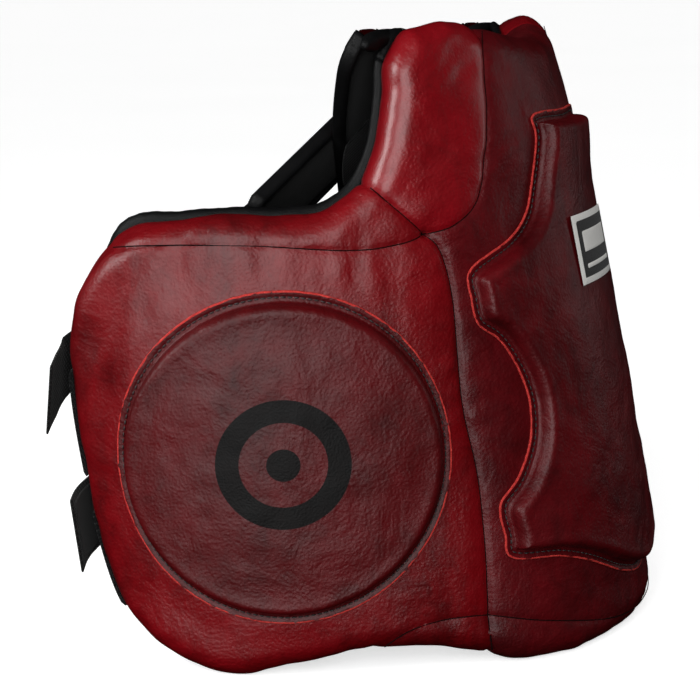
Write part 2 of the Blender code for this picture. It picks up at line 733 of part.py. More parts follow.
def build_landings(side, name, finish, parent, run):
    """The patches on the wing's rear edge that the straps hold on to, and the ring above them."""
    line, normals = run("lower_corner", "upper_corner")
    for part, low, high in (("waist_landing", 0.130, 0.222), ("strap_landing", 0.240, 0.346)):
        chosen = (line[:, 1] > low) & (line[:, 1] < high)
        add_object(f"{name}_{part}", *band((line[chosen], normals[chosen]), outer_offset=0.0022, thickness=CLOTH,
                                           face_angles=(65.0, 90.0), back_angles=(30.0, 45.0)),
                   finish["loop"], parent)


def build_straps(finish, parent):
    for side, name in ((-1, "right"), (1, "left")):
        centres, widths, normals = strap_frame(side)
        inner = widths * (1.0 - 0.0030 / np.linalg.norm(widths, axis=1, keepdims=True))
        add_object(f"{name}_strap_padding", *ribbon(centres, inner, normals, 0.0, STRAP_THICK),
                   finish["lining"], parent)
        add_object(f"{name}_strap_cover", *ribbon(centres, inner, normals, STRAP_THICK + GAP,
                                                  STRAP_THICK + GAP + LEATHER), finish["oxblood"], parent)
        build_strap_binding(name, centres, inner, normals, finish, parent)
        path, across, out = tail_frame(side)
        add_object(f"{name}_strap_webbing", *ribbon(path, across, out, 0.0, WEB_THICK), finish["webbing"], parent)


def build_keeper(finish, parent):
    """The flat diamond sewn under the straps where they cross."""
    middle = STRAP_TOP.lerp(STRAP_END, -STRAP_TOP.x / (STRAP_END.x - STRAP_TOP.x))
    run = STRAP_END - STRAP_TOP
    down = Vector((0.0, run.y, run.z)).normalized()
    wide = Vector((1.0, 0.0, 0.0))
    out = down.cross(wide)
    out *= math.copysign(1.0, out.y)
    corners = [middle + down * b * KEEPER_HALF_H + wide * a * KEEPER_HALF_W
               for a, b in ((1, 0.15), (0.15, 1), (-0.15, 1), (-1, 0.15), (-1, -0.15), (-0.15, -1), (0.15, -1),
                            (1, -0.15))]
    levels = [np.array([c + out * level for c in corners]) for level in (-0.0010, -0.0026)]
    add_object("strap_keeper", *tube(levels, lambda i: levels[i]), finish["webbing"], parent)


def build_strap_binding(name, centres, widths, normals, finish, parent):
    """A rolled edge down one side of a padded strap, across its end and up the other side."""
    unit = widths / np.linalg.norm(widths, axis=1, keepdims=True)
    along = centres[-1] - centres[-2]
    along = along / np.linalg.norm(along)
    middle = (STRAP_THICK + LEATHER) / 2
    clear = 0.0048
    down = [c - w - n * 0 - u * clear + o * middle for c, w, n, u, o in zip(centres, widths, normals, unit, normals)]
    up = [c + w + u * clear + o * middle for c, w, u, o in zip(centres, widths, unit, normals)]
    down[-1] = down[-1] + along * clear
    up[-1] = up[-1] + along * clear
    path = np.array(down + up[::-1])
    outward = np.vstack([-unit, unit[::-1]])
    outward[len(unit) - 1] = (along - unit[-1]) / math.sqrt(2) * 1.35
    outward[len(unit)] = (along + unit[-1]) / math.sqrt(2) * 1.35
    lift = np.vstack([normals, normals[::-1]])
    angles = np.arange(6) * math.pi / 3

    def ring(i):
        return np.array([path[i] + outward[i] * 0.0028 * math.cos(a) + lift[i] * 0.0066 * math.sin(a)
                         for a in angles])

    add_object(f"{name}_strap_binding", *tube(path, ring), finish["binding"], parent)


def build_shoulder_folds(finish):
    """The folded leather roll on each shoulder that the padded strap turns on."""
    angles = np.arange(10) * math.pi / 5
    for side, name in ((-1, "right"), (1, "left")):
        ends = [side * x for x in (0.072, 0.100, 0.135, 0.168)]

        def ring(i):
            return np.array([(ends[i], SHOULDER_AXIS_Y + 0.0042 * math.cos(a), SHOULDER_AXIS_Z + 0.0042 * math.sin(a))
                             for a in angles])

        add_object(f"{name}_shoulder_fold", *tube(ends, ring), finish["binding"])


def build_slider(side, name, finish):
    """A plastic loop that slides along the strap's webbing."""
    path, across, out = tail_frame(side)
    along = (path[4] - path[2]) / np.linalg.norm(path[4] - path[2])
    centre = path[3] + out[3] * WEB_THICK / 2
    wide = across[3] / np.linalg.norm(across[3])
    anchor = pivot(f"{name}_slider_pivot", centre)
    add_object(f"{name}_strap_slider", *sleeve(centre, along, wide, out[3], TAIL_HALF_W + 0.0012, 0.0022, 0.0028, 0.020),
               finish["hardware"], anchor, smooth=False)


def build_waist_strap(finish, parent):
    centres, widths, normals = waist_strap_frame()
    add_object("waist_strap", *ribbon(centres, widths, normals, 0.0, WEB_THICK), finish["webbing"], parent)
    hook = slice(len(centres) - 4, len(centres))
    add_object("waist_strap_hook_patch", *ribbon(centres[hook], widths[hook] * 0.84, normals[hook],
                                                 -GAP - 0.0012, -GAP), finish["loop"], parent)


def finishes():
    return {
        "oxblood": material("oxblood_leather", OXBLOOD, 0.42),
        "deep_red": material("deep_red_leather", DEEP_RED, 0.45),
        "binding": material("black_binding", BLACK_LEATHER, 0.40),
        "lining": material("black_lining", BLACK_CLOTH, 0.95),
        "foam": material("padding_foam", FOAM_GREY, 0.90),
        "webbing": material("black_webbing", BLACK_CLOTH, 0.80),
        "loop": material("hook_and_loop", BLACK_CLOTH, 1.00),
        "mark": material("black_mark", BLACK_LEATHER, 0.55),
        "label": material("woven_label", LABEL_WHITE, 0.80),
        "hardware": material("black_hardware", BLACK_METAL, 0.30),
    }


def main():
    for old in list(bpy.data.objects):
        bpy.data.objects.remove(old)
    finish = finishes()
    build_chest(finish)
    build_centre_pad(finish)
    for side, name in ((-1, "right"), (1, "left")):
        foot, _ = skin_axis(side * HINGE_U)
        build_wing(side, finish, pivot(f"{name}_wing_pivot", foot))
    build_shoulder_folds(finish)
    harness = pivot("harness_pivot", (0.0, SHOULDER_AXIS_Y, SHOULDER_AXIS_Z))
    build_straps(finish, harness)
    build_keeper(finish, harness)
    for side, name in ((-1, "right"), (1, "left")):
        build_slider(side, name, finish)
    x, y = WAIST_PLAN[0]
    build_waist_strap(finish, pivot("waist_strap_pivot", (x, y, (WAIST_LOW + WAIST_HIGH) / 2)))


main()
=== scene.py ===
"""How the trainer's body protector looks: oxblood leather over thick padding, stitched target and centre
pads, rolled black binding, black cloth lining and woven straps, on a pale floor in soft studio light."""

import math

import bpy
import numpy as np
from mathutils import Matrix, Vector
from mathutils.geometry import delaunay_2d_cdt


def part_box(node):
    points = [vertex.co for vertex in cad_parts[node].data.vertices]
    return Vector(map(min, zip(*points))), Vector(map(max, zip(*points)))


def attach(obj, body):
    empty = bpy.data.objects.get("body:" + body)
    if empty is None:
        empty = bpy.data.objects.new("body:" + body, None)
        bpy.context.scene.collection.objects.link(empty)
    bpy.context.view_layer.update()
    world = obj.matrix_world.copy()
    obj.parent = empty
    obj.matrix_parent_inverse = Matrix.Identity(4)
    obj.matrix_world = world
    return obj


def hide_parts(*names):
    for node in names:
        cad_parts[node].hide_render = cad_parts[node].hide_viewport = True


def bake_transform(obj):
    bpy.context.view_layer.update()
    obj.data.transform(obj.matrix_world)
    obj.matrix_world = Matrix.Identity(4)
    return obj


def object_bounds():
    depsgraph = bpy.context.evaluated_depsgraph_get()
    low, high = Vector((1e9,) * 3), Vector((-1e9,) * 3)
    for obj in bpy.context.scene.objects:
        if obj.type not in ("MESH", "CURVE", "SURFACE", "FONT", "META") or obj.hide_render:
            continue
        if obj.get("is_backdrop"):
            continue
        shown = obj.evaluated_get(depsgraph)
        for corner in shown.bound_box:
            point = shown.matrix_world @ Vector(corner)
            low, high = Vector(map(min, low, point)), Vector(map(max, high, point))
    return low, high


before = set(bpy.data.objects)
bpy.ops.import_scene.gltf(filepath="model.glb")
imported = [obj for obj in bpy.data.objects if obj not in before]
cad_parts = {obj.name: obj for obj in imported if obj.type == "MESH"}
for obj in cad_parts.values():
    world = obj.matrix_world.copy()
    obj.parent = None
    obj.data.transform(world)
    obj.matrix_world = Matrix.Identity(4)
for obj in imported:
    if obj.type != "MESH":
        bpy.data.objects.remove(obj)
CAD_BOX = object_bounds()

# The curved skin's dimensions, as the solids have them
LEAN = math.radians(7.9)
SHIFT_Y = -0.0066
SHIFT_Z = -0.067
FRONT_Y = -0.2122
BELLY_SLOPE = 0.0893
SHOULDER_BULGE = 0.007
DEPTH = 0.046
FACE_ROUND = 0.024
EDGE_LEVEL = 0.0235
BACK_ROUND = 0.012
BACK_DROP = 0.0205
HINGE_U = 0.176
TARGET_U, TARGET_V, TARGET_R = 0.3285, 0.2525, 0.135
PAD_RISE = 0.0148
RAW_EDGE = 0.0015
FLANGE = 0.0085
STITCH_IN = 0.0048
FINE = 0.004
BINDING_DEPTH, BINDING_HALF_W = 0.0042, 0.0078
BINDING_LEVEL, BINDING_HALF_T = -0.0445, 0.0056

OUTLINE = [
    (0.000, 0.0375), (0.050, 0.0375), (0.102, 0.0385), (0.145, 0.0440), (HINGE_U, 0.0535), (0.210, 0.0680),
    (0.250, 0.0780), (0.298, 0.0795), (0.340, 0.0745), (0.389, 0.0705), (0.428, 0.0830), (0.467, 0.1080),
    (0.495, 0.1420), (0.510, 0.1950), (0.516, 0.2550), (0.517, 0.3100), (0.509, 0.3600), (0.489, 0.4000),
    (0.455, 0.4340), (0.410, 0.4490), (0.350, 0.4490), (0.300, 0.4430), (0.265, 0.4440), (0.237, 0.4600),
    (0.2175, 0.4900), (0.2060, 0.5250), (0.1980, 0.5520), (0.1760, 0.5715), (0.1450, 0.5760),
    (0.1120, 0.5750), (0.0850, 0.5700), (0.0520, 0.5640), (0.0250, 0.5595), (0.000, 0.5580),
]
# Seams, for the wearer's left half
FOLD_SEAM = [(0.182, 0.020), (0.182, 0.080), (0.180, 0.109), (0.175, 0.168), (0.1735, 0.218), (0.1775, 0.278),
             (0.1730, 0.358), (0.178, 0.398), (0.190, 0.413)]
ARM_SEAM = [(0.190, 0.413), (0.214, 0.437), (0.238, 0.461), (0.262, 0.485)]
SHOULDER_SEAM = [(0.190, 0.413), (0.161, 0.417), (0.133, 0.433), (0.119, 0.471), (0.102, 0.525),
                 (0.086, 0.567), (0.078, 0.600)]
TOP_SEAM = [(0.190, 0.413), (0.215, 0.409), (0.256, 0.410), (0.332, 0.424), (0.400, 0.4325), (0.440, 0.4350),
            (0.475, 0.4330)]
HEM_SEAM = [(0.0, 0.0505), (0.059, 0.056), (0.133, 0.078), (0.180, 0.0945), (0.216, 0.099), (0.250, 0.094),
            (0.290, 0.074)]
CENTRE_PAD = [
    (0.000, 0.4920), (0.055, 0.4920), (0.0575, 0.4740), (0.069, 0.4320), (0.082, 0.4120), (0.106, 0.3970),
    (0.153, 0.3800), (0.157, 0.3560), (0.154, 0.3350), (0.136, 0.3190), (0.122, 0.2920), (0.1165, 0.2630),
    (0.1225, 0.2330), (0.140, 0.2050), (0.160, 0.1860), (0.160, 0.1600), (0.157, 0.1400), (0.115, 0.1300),
    (0.082, 0.1160), (0.040, 0.0930), (0.000, 0.0820),
]

# The back straps
STRAP_TOP = Vector((-0.112, -0.0100, 0.494))
STRAP_END = Vector((0.1185, 0.0814, 0.336))
STRAP_HALF_W = 0.045
STRAP_TOP_HALF_W = 0.043
ROLL_Y, ROLL_Z = -0.0245, 0.5085
STRAP_THICK = 0.0110
STRAP_LIFT = 0.0135
TAIL_POINTS = [(0.233, 0.2134, 0.242), (0.262, 0.2074, 0.231), (0.288, 0.1968, 0.225)]
TAIL_HALF_W = 0.031
WEB_THICK = 0.0020
HARNESS = "shoulder_harness"
WAIST_LOW, WAIST_HIGH = 0.082, 0.144
WAIST_PLAN = [(0.289, 0.1754), (0.264, 0.1874), (0.236, 0.1954), (0.160, 0.2114), (0.080, 0.2204),
              (0.0, 0.2234)]


# Camera

def make_camera():
    """Level, looking at the wearer's right side from the front and a little above."""
    azimuth, elevation, distance = math.radians(65.9), math.radians(13.74), 1.391
    target = Vector((-0.0088, 0.0574, 0.2186))
    back = Vector((-math.sin(azimuth) * math.cos(elevation), -math.cos(azimuth) * math.cos(elevation),
                   math.sin(elevation)))
    data = bpy.data.cameras.new("camera")
    data.lens = 76.47
    data.sensor_width = 36.0
    camera = bpy.data.objects.new("camera", data)
    camera.location = target + back * distance
    camera.rotation_euler = (-back).to_track_quat("-Z", "Y").to_euler()
    bpy.context.scene.collection.objects.link(camera)
    bpy.context.scene.camera = camera


# The skin map

def ease(low, high, value):
    x = np.clip((value - low) / (high - low), 0.0, 1.0)
    return x * x * (3.0 - 2.0 * x)


def plan_curve(length=0.62, steps=1240):
    arc = np.linspace(0.0, length, steps + 1)
    bend = 4.72 - 0.16 * ease(0.05, 0.10, arc) - 2.70 * ease(0.16, 0.21, arc) + 6.14 * ease(0.40, 0.46, arc)
    step = arc[1] - arc[0]

    def summed(values):
        return np.concatenate([[0.0], np.cumsum((values[1:] + values[:-1]) / 2 * step)])

    heading = summed(bend)
    return arc, summed(np.cos(heading)), summed(np.sin(heading)) + FRONT_Y, heading


ARC, PLAN_X, PLAN_Y, HEADING = plan_curve()


def skin(u, v, t, floor=0.0):
    """World points for u round the body, v up the garment and t out of the outer leather."""
    u, v, t = np.broadcast_arrays(*(np.asarray(a, float) for a in (u, v, t)))
    side = np.where(u < 0, -1.0, 1.0)
    reach = np.abs(u)
    heading = np.interp(reach, ARC, HEADING)
    front = 1.0 - ease(0.08, 0.24, reach)
    bulge = SHOULDER_BULGE * ease(0.42, 0.48, v) * (1.0 - ease(0.50, 0.58, v))
    x = side * (np.interp(reach, ARC, PLAN_X) + t * np.sin(heading))
    y = np.interp(reach, ARC, PLAN_Y) - t * np.cos(heading) + (BELLY_SLOPE * (v - 0.25) - bulge) * front
    z = -y * math.sin(LEAN) + v * math.cos(LEAN) + SHIFT_Z
    y = y * math.cos(LEAN) + v * math.sin(LEAN) + SHIFT_Y
    return np.stack([x, y, np.maximum(z, floor)], axis=-1)


# Lines on the skin

def smooth_line(points, step, closed=False):
    """A smooth line through the points with even samples every step or so."""
    points = np.asarray(points, float)
    count = len(points)
    line = []
    for i in range(count if closed else count - 1):
        a, b, c, d = (points[(i + k) % count] if closed else points[min(max(i + k, 0), count - 1)]
                      for k in (-1, 0, 1, 2))
        pieces = max(1, math.ceil(np.linalg.norm(c - b) / step))
        for s in np.arange(pieces) / pieces:
            line.append(0.5 * (2 * b + (c - a) * s + (2 * a - 5 * b + 4 * c - d) * s**2
                               + (3 * b - a - 3 * c + d) * s**3))
    if not closed:
        line.append(points[-1])
    return np.array(line)


def mirrored(points):
    return np.asarray(points, float) * (-1.0, 1.0)


def whole_loop(half):
    """A closed anticlockwise line from a half that starts and ends on the middle."""
    half = np.asarray(half, float)
    return np.vstack([half, mirrored(half[1:-1])[::-1]])


def inward(line, closed=True):
    if closed:
        along = np.roll(line, -1, axis=0) - np.roll(line, 1, axis=0)
    else:
        along = np.gradient(line, axis=0)
    normal = np.stack([-along[:, 1], along[:, 0]], axis=1)
    return normal / np.maximum(np.linalg.norm(normal, axis=1, keepdims=True), 1e-9)


CHUNK = 4000


def nearest(points, line, closed=False):
    """Distance from each point to the line, and how far along the line it lies."""
    points = np.asarray(points, float)
    starts = line if closed else line[:-1]
    ends = np.roll(line, -1, axis=0) if closed else line[1:]
    along = ends - starts
    size = np.maximum((along**2).sum(axis=1), 1e-18)
    before = np.concatenate([[0.0], np.cumsum(np.sqrt(size))[:-1]])
    distance, place = np.empty(len(points)), np.empty(len(points))
    for first in range(0, len(points), CHUNK):
        some = points[first:first + CHUNK]
        s = np.clip(((some[:, None, :] - starts) * along).sum(axis=2) / size, 0.0, 1.0)
        gap = np.linalg.norm(some[:, None, :] - (starts + s[:, :, None] * along), axis=2)
        best = gap.argmin(axis=1)
        rows = np.arange(len(some))
        distance[first:first + CHUNK] = gap[rows, best]
        place[first:first + CHUNK] = before[best] + s[rows, best] * np.sqrt(size[best])
    return distance, place


def inside(points, loop):
    points = np.asarray(points, float)
    result = np.zeros(len(points), bool)
    x0, y0 = loop[:, 0], loop[:, 1]
    x1, y1 = np.roll(x0, -1), np.roll(y0, -1)
    height = np.where(y1 == y0, 1.0, y1 - y0)
    for first in range(0, len(points), CHUNK):
        x, y = points[first:first + CHUNK, 0:1], points[first:first + CHUNK, 1:2]
        straddles = (y0 > y) != (y1 > y)
        crossed = straddles & (x < (x1 - x0) * (y - y0) / height + x0)
        result[first:first + CHUNK] = crossed.sum(axis=1) % 2 == 1
    return result


EDGE = smooth_line(whole_loop(OUTLINE), FINE, closed=True)
EDGE_IN = inward(EDGE)


# Unevenness

def lattice(ix, iy, seed):
    mixed = np.sin(ix * 127.1 + iy * 311.7 + seed * 74.7) * 43758.5453
    return mixed - np.floor(mixed)


def noise(x, y, seed):
    """Smooth noise from -1 to 1 with cells one unit across."""
    ix, iy = np.floor(x), np.floor(y)
    fx, fy = x - ix, y - iy
    fx, fy = fx * fx * (3 - 2 * fx), fy * fy * (3 - 2 * fy)
    low = lattice(ix, iy, seed) * (1 - fx) + lattice(ix + 1, iy, seed) * fx
    high = lattice(ix, iy + 1, seed) * (1 - fx) + lattice(ix + 1, iy + 1, seed) * fx
    return 2.0 * (low * (1 - fy) + high * fy) - 1.0


def folds(u, v, angle, length, width, seed):
    """Long soft folds lying at an angle, as a height from -1 to 1."""
    c, s = math.cos(angle), math.sin(angle)
    along, across = (u * c + v * s) / length, (-u * s + v * c) / width
    return noise(along, across + 0.8 * noise(along * 1.7, across * 0.3, seed + 5), seed)


SEAMS = [smooth_line(line, FINE) for half in (FOLD_SEAM, ARM_SEAM, SHOULDER_SEAM, TOP_SEAM)
         for line in (half, mirrored(half))]
SEAMS.append(smooth_line(np.vstack([mirrored(HEM_SEAM)[:0:-1], HEM_SEAM]), FINE))
SEAM_DEPTH = [0.0028, 0.0028, 0.0022, 0.0022, 0.0018, 0.0018, 0.0012, 0.0012, 0.0011]
SEAM_PULL = [1.0, 1.0, 0.9, 0.9, 0.35, 0.35, 0.5, 0.5, 0.4]


def seam_height(u, v):
    """How the leather dips into its seams and puckers beside them."""
    points = np.stack([u, v], axis=1)
    height = np.zeros(len(points))
    for k, (line, depth, pull) in enumerate(zip(SEAMS, SEAM_DEPTH, SEAM_PULL)):
        gap, place = nearest(points, line)
        height -= depth * np.exp(-((gap / 0.0026) ** 2)) + 0.6 * depth * np.exp(-((gap / 0.012) ** 2))
        ripple = noise(place / 0.011, gap / 0.05, 11 + k) * noise(place / 0.05, place * 0, 31 + k)
        height += 0.0016 * pull * ripple * np.exp(-((gap / 0.020) ** 2)) * (1 - np.exp(-((gap / 0.004) ** 2)))
    return height


def leather_height(u, v):
    """The leather's unevenness over the padding, calm under the stitched pads."""
    reach = np.abs(u)
    height = seam_height(u, v)
    calm = ease(TARGET_R - 0.002, TARGET_R + 0.022, np.hypot(reach - TARGET_U, v - TARGET_V))
    calm = calm * ease(-0.002, 0.018, np.where(inside(np.stack([u, v], axis=1), PAD_LOOP), 0.0,
                                               nearest(np.stack([u, v], axis=1), PAD_LOOP, True)[0]))
    broad = 0.0020 * noise(u / 0.085, v / 0.085, 1) + 0.0010 * noise(u / 0.032, v / 0.036, 2)
    side = ease(0.17, 0.19, reach)
    corner = ease(0.36, 0.46, reach) * ease(0.28, 0.38, v)
    armpit = np.exp(-(((reach - 0.235) / 0.05) ** 2 + ((v - 0.43) / 0.045) ** 2))
    shoulder = ease(0.06, 0.10, reach) * ease(0.43, 0.46, v) * (1 - side * 0.5)
    creases = 0.0010 * corner * folds(u, v, 0.9, 0.070, 0.011, 3)
    creases += 0.0022 * armpit * folds(u, v, 0.75, 0.060, 0.012, 4)
    creases += 0.0010 * shoulder * folds(u, v, 0.35, 0.060, 0.010, 6)
    creases += 0.0007 * side * folds(u, v, 1.45, 0.090, 0.014, 7)
    return height + (broad + creases) * calm


PAD_LOOP = smooth_line(whole_loop(CENTRE_PAD)[::-1], FINE, closed=True)
PAD_LOOP = PAD_LOOP if inside(PAD_LOOP[:1] + 0.002 * inward(PAD_LOOP)[:1], PAD_LOOP)[0] else PAD_LOOP[::-1]


# Mesh helpers

def circle(count):
    """Even angles round a full turn."""
    return np.arange(count) * 2 * math.pi / count


def add_mesh(name, points, faces, finish):
    mesh = bpy.data.meshes.new(name)
    mesh.from_pydata([tuple(p) for p in points], [], [tuple(int(i) for i in f) for f in faces])
    mesh.materials.append(finish)
    mesh.shade_smooth()
    made = bpy.data.objects.new(name, mesh)
    bpy.context.scene.collection.objects.link(made)
    return made


def part_of(points, faces, chosen):
    """The chosen faces with only the points they use."""
    faces = [faces[i] for i in np.flatnonzero(chosen)]
    used = sorted({i for f in faces for i in f})
    new = dict(zip(used, range(len(used))))
    return points[used], [[new[i] for i in f] for f in faces]


def triangulate(loop, lines=(), step=FINE, clearance=0.45):
    """Triangles over a region of the skin that follow the given lines, and where each loop point went."""
    points = [tuple(p) for p in loop]
    edges = [(i, (i + 1) % len(loop)) for i in range(len(loop))]
    for line in lines:
        keep = inside(line, loop) & (nearest(line, loop, True)[0] > 0.0010)
        previous = None
        for place, ok in zip(line, keep):
            if ok:
                points.append(tuple(place))
                if previous is not None:
                    edges.append((previous, len(points) - 1))
            previous = len(points) - 1 if ok else None
    low, high = loop.min(axis=0), loop.max(axis=0)
    rows = np.arange(low[1], high[1], step * 0.87)
    spots = []
    for k, v in enumerate(rows):
        across = np.arange(low[0] + (k % 2) * step / 2, high[0], step)
        spots.append(np.stack([across, np.full(len(across), v)], axis=1))
    spots = np.vstack(spots)
    spots = spots[inside(spots, loop)]
    taken = set()
    cell = step * clearance * 1.6
    for p in points:
        taken.update((math.floor(p[0] / cell) + i, math.floor(p[1] / cell) + j) for i in (-1, 0, 1)
                     for j in (-1, 0, 1))
    free = [tuple(p) for p in spots if (math.floor(p[0] / cell), math.floor(p[1] / cell)) not in taken]
    made = delaunay_2d_cdt([Vector(p) for p in points + free], edges, [], 1, 1e-7)
    origin = {}
    for new, olds in enumerate(made[3]):
        for old in olds:
            if old < len(loop):
                origin[old] = new
    rim = [origin[i] for i in range(len(loop))]
    return np.array([tuple(p) for p in made[0]]), [tuple(f) for f in made[2]], rim


def grid_faces(rows, columns, closed_rows=False, closed_columns=False, start=0):
    faces = []
    for i in range(rows if closed_rows else rows - 1):
        for j in range(columns if closed_columns else columns - 1):
            a, b = start + i * columns + j, start + i * columns + (j + 1) % columns
            c, d = start + (i + 1) % rows * columns + (j + 1) % columns, start + (i + 1) % rows * columns + j
            faces.append((a, b, c, d))
    return faces


def tube(centres, ring, closed=False):
    rings = np.array([ring(i) for i in range(len(centres))])
    rows, columns = rings.shape[:2]
    faces = grid_faces(rows, columns, closed_rows=closed, closed_columns=True)
    if not closed:
        faces.append(tuple(reversed(range(columns))))
        faces.append(tuple(range((rows - 1) * columns, rows * columns)))
    return rings.reshape(-1, 3), faces


# Materials

class Nodes:
    """Short calls for building a material's nodes."""

    def __init__(self, name, roughness=0.5):
        self.material = bpy.data.materials.new(name)
        self.material.use_nodes = True
        self.tree = self.material.node_tree
        self.shader = self.tree.nodes["Principled BSDF"]
        self.shader.inputs["Roughness"].default_value = roughness
        self.place = self.tree.nodes.new("ShaderNodeTexCoord").outputs["Object"]

    def add(self, kind, **values):
        node = self.tree.nodes.new(kind)
        for key, value in values.items():
            if key.startswith("set_"):
                setattr(node, key[4:], value)
            else:
                self.put(node.inputs[key.replace("_", " ")], value)
        return node

    def put(self, socket, value):
        if isinstance(value, bpy.types.NodeSocket):
            self.tree.links.new(value, socket)
        else:
            socket.default_value = value

    def noise(self, scale, detail=4.0, roughness=0.6, distortion=0.0, place=None):
        return self.add("ShaderNodeTexNoise", Vector=place or self.place, Scale=scale, Detail=detail,
                        Roughness=roughness, Distortion=distortion).outputs["Fac"]

    def cells(self, scale, feature="F1"):
        node = self.add("ShaderNodeTexVoronoi", Vector=self.place, Scale=scale, set_feature=feature)
        return node.outputs["Distance"]

    def stretched(self, scale, turn=(0.0, 0.0, 0.0)):
        return self.add("ShaderNodeMapping", Vector=self.place, Scale=scale, Rotation=turn).outputs["Vector"]

    def ramp(self, value, *stops):
        node = self.add("ShaderNodeValToRGB", Fac=value)
        elements = node.color_ramp.elements
        while len(elements) < len(stops):
            elements.new(0.5)
        for element, (place, colour) in zip(elements, stops):
            element.position = place
            element.color = (*colour, 1.0) if isinstance(colour, tuple) else (colour, colour, colour, 1.0)
        return node.outputs["Color"]

    def math(self, operation, a, b=0.0):
        node = self.add("ShaderNodeMath", set_operation=operation)
        self.put(node.inputs[0], a)
        self.put(node.inputs[1], b)
        return node.outputs["Value"]

    def worn(self, value, spread, least):
        """Roughness that varies with the value."""
        return self.math("ADD", self.math("MULTIPLY", value, spread), least)

    def weigh(self, *pairs):
        """The sum of (value, share) pairs."""
        total = None
        for value, share in pairs:
            part = self.math("MULTIPLY", value, share)
            total = part if total is None else self.math("ADD", total, part)
        return total

    def mix(self, amount, a, b):
        node = self.add("ShaderNodeMix", set_data_type="RGBA")
        self.put(node.inputs["Factor"], amount)
        for socket, value in ((node.inputs[6], a), (node.inputs[7], b)):
            self.put(socket, (*value, 1.0) if isinstance(value, tuple) else value)
        return node.outputs[2]

    def bump(self, height, distance, strength=1.0, after=None):
        node = self.add("ShaderNodeBump", Height=height, Distance=distance, Strength=strength)
        if after is not None:
            self.put(node.inputs["Normal"], after)
        return node.outputs["Normal"]

    def finish(self, colour=None, roughness=None, normal=None, **sockets):
        if colour is not None:
            colour = (*colour, 1.0) if isinstance(colour, tuple) else colour
            self.put(self.shader.inputs["Base Color"], colour)
        if roughness is not None:
            self.put(self.shader.inputs["Roughness"], roughness)
        if normal is not None:
            self.put(self.shader.inputs["Normal"], normal)
        for key, value in sockets.items():
            self.shader.inputs[key.replace("_", " ")].default_value = value
        return self.material


def leather(name, dark, middle, light, rough, coat, coat_rough=0.30, turn=(0.3, 0.7, 0.2), creasing=0.20):
    """Pull-up leather: cloudy colour, pebbled grain, pores and soft creases lying one way."""
    n = Nodes(name)
    clouds = n.noise(8.0, 6.0, 0.62, 0.5)
    blotches = n.noise(34.0, 6.0, 0.70, 0.8)
    streaks = n.noise(26.0, 5.0, 0.65, 0.3, n.stretched((1.0, 1.0, 0.30), turn))
    tone = n.weigh((clouds, 0.45), (blotches, 0.30), (streaks, 0.25))
    colour = n.ramp(tone, (0.38, dark), (0.50, middle), (0.63, light))
    colour = n.mix(n.ramp(n.cells(900.0), (0.0, 0.6), (0.22, 0.0)), colour, dark)
    grain = n.cells(430.0, "SMOOTH_F1")
    creases = n.noise(75.0, 6.0, 0.72, 0.8, n.stretched((1.0, 1.0, 0.35), turn))
    fine = n.noise(420.0, 4.0, 0.65)
    soft = n.noise(17.0, 4.0, 0.55, 1.2)
    normal = n.bump(soft, 0.0120, 0.24)
    normal = n.bump(creases, 0.0020, creasing, normal)
    normal = n.bump(grain, 0.0007, 0.45, normal)
    normal = n.bump(fine, 0.0005, 0.50, normal)
    wear = n.noise(38.0, 6.0, 0.7)
    roughness = n.worn(wear, 0.30, rough - 0.15)
    return n.finish(colour, roughness, normal, Coat_Weight=coat, Coat_Roughness=coat_rough,
                    Specular_IOR_Level=0.28)


def raw_leather_edge():
    n = Nodes("raw_leather_edge")
    fibres = n.noise(420.0, 5.0, 0.75)
    colour = n.ramp(fibres, (0.30, (0.20, 0.005, 0.005)), (0.58, (0.42, 0.030, 0.025)),
                    (0.8, (0.60, 0.09, 0.07)))
    return n.finish(colour, 0.75, n.bump(fibres, 0.0006, 0.9), Specular_IOR_Level=0.25)


def black_leather():
    n = Nodes("black_binding_leather")
    clouds = n.noise(30.0, 5.0, 0.6)
    colour = n.ramp(clouds, (0.3, (0.0014, 0.0014, 0.0015)), (0.7, (0.0038, 0.0038, 0.0041)))
    wrinkle = n.noise(160.0, 5.0, 0.7, 0.6)
    normal = n.bump(n.cells(900.0), 0.0003, 0.5, n.bump(wrinkle, 0.0008, 0.5))
    return n.finish(colour, n.worn(clouds, 0.25, 0.36), normal, Specular_IOR_Level=0.14)


def woven(name, dark, light, pitch, relief, rough, sheen):
    """A plain weave as two crossed sets of threads, on whichever way the cloth lies."""
    n = Nodes(name, rough)
    turned = n.stretched((1.0, 1.0, 1.0), (0.55, 0.35, 0.75))
    first, second = (n.add("ShaderNodeTexWave", Vector=turned, Scale=pitch, Distortion=0.4, Detail=2.0,
                           Detail_Scale=3.0, set_bands_direction=way).outputs["Fac"] for way in "XZ")
    threads = n.math("MULTIPLY", first, second)
    fuzz = n.noise(700.0, 4.0, 0.7)
    worn = n.noise(14.0, 4.0, 0.6)
    mixed = n.weigh((n.weigh((threads, 0.7), (fuzz, 0.3)), 0.75), (worn, 0.25))
    colour = n.ramp(mixed, (0.2, dark), (0.8, light))
    normal = n.bump(fuzz, 0.0003, 0.5, n.bump(threads, relief, 0.8))
    return n.finish(colour, None, normal, Sheen_Weight=sheen, Sheen_Roughness=0.5, Specular_IOR_Level=0.12)


def moulded_plastic():
    n = Nodes("moulded_plastic")
    mottled = n.noise(240.0, 4.0, 0.6)
    colour = n.ramp(mottled, (0.3, (0.006, 0.006, 0.0065)), (0.7, (0.012, 0.012, 0.013)))
    return n.finish(colour, n.worn(mottled, 0.2, 0.16), n.bump(mottled, 0.0002, 0.3))


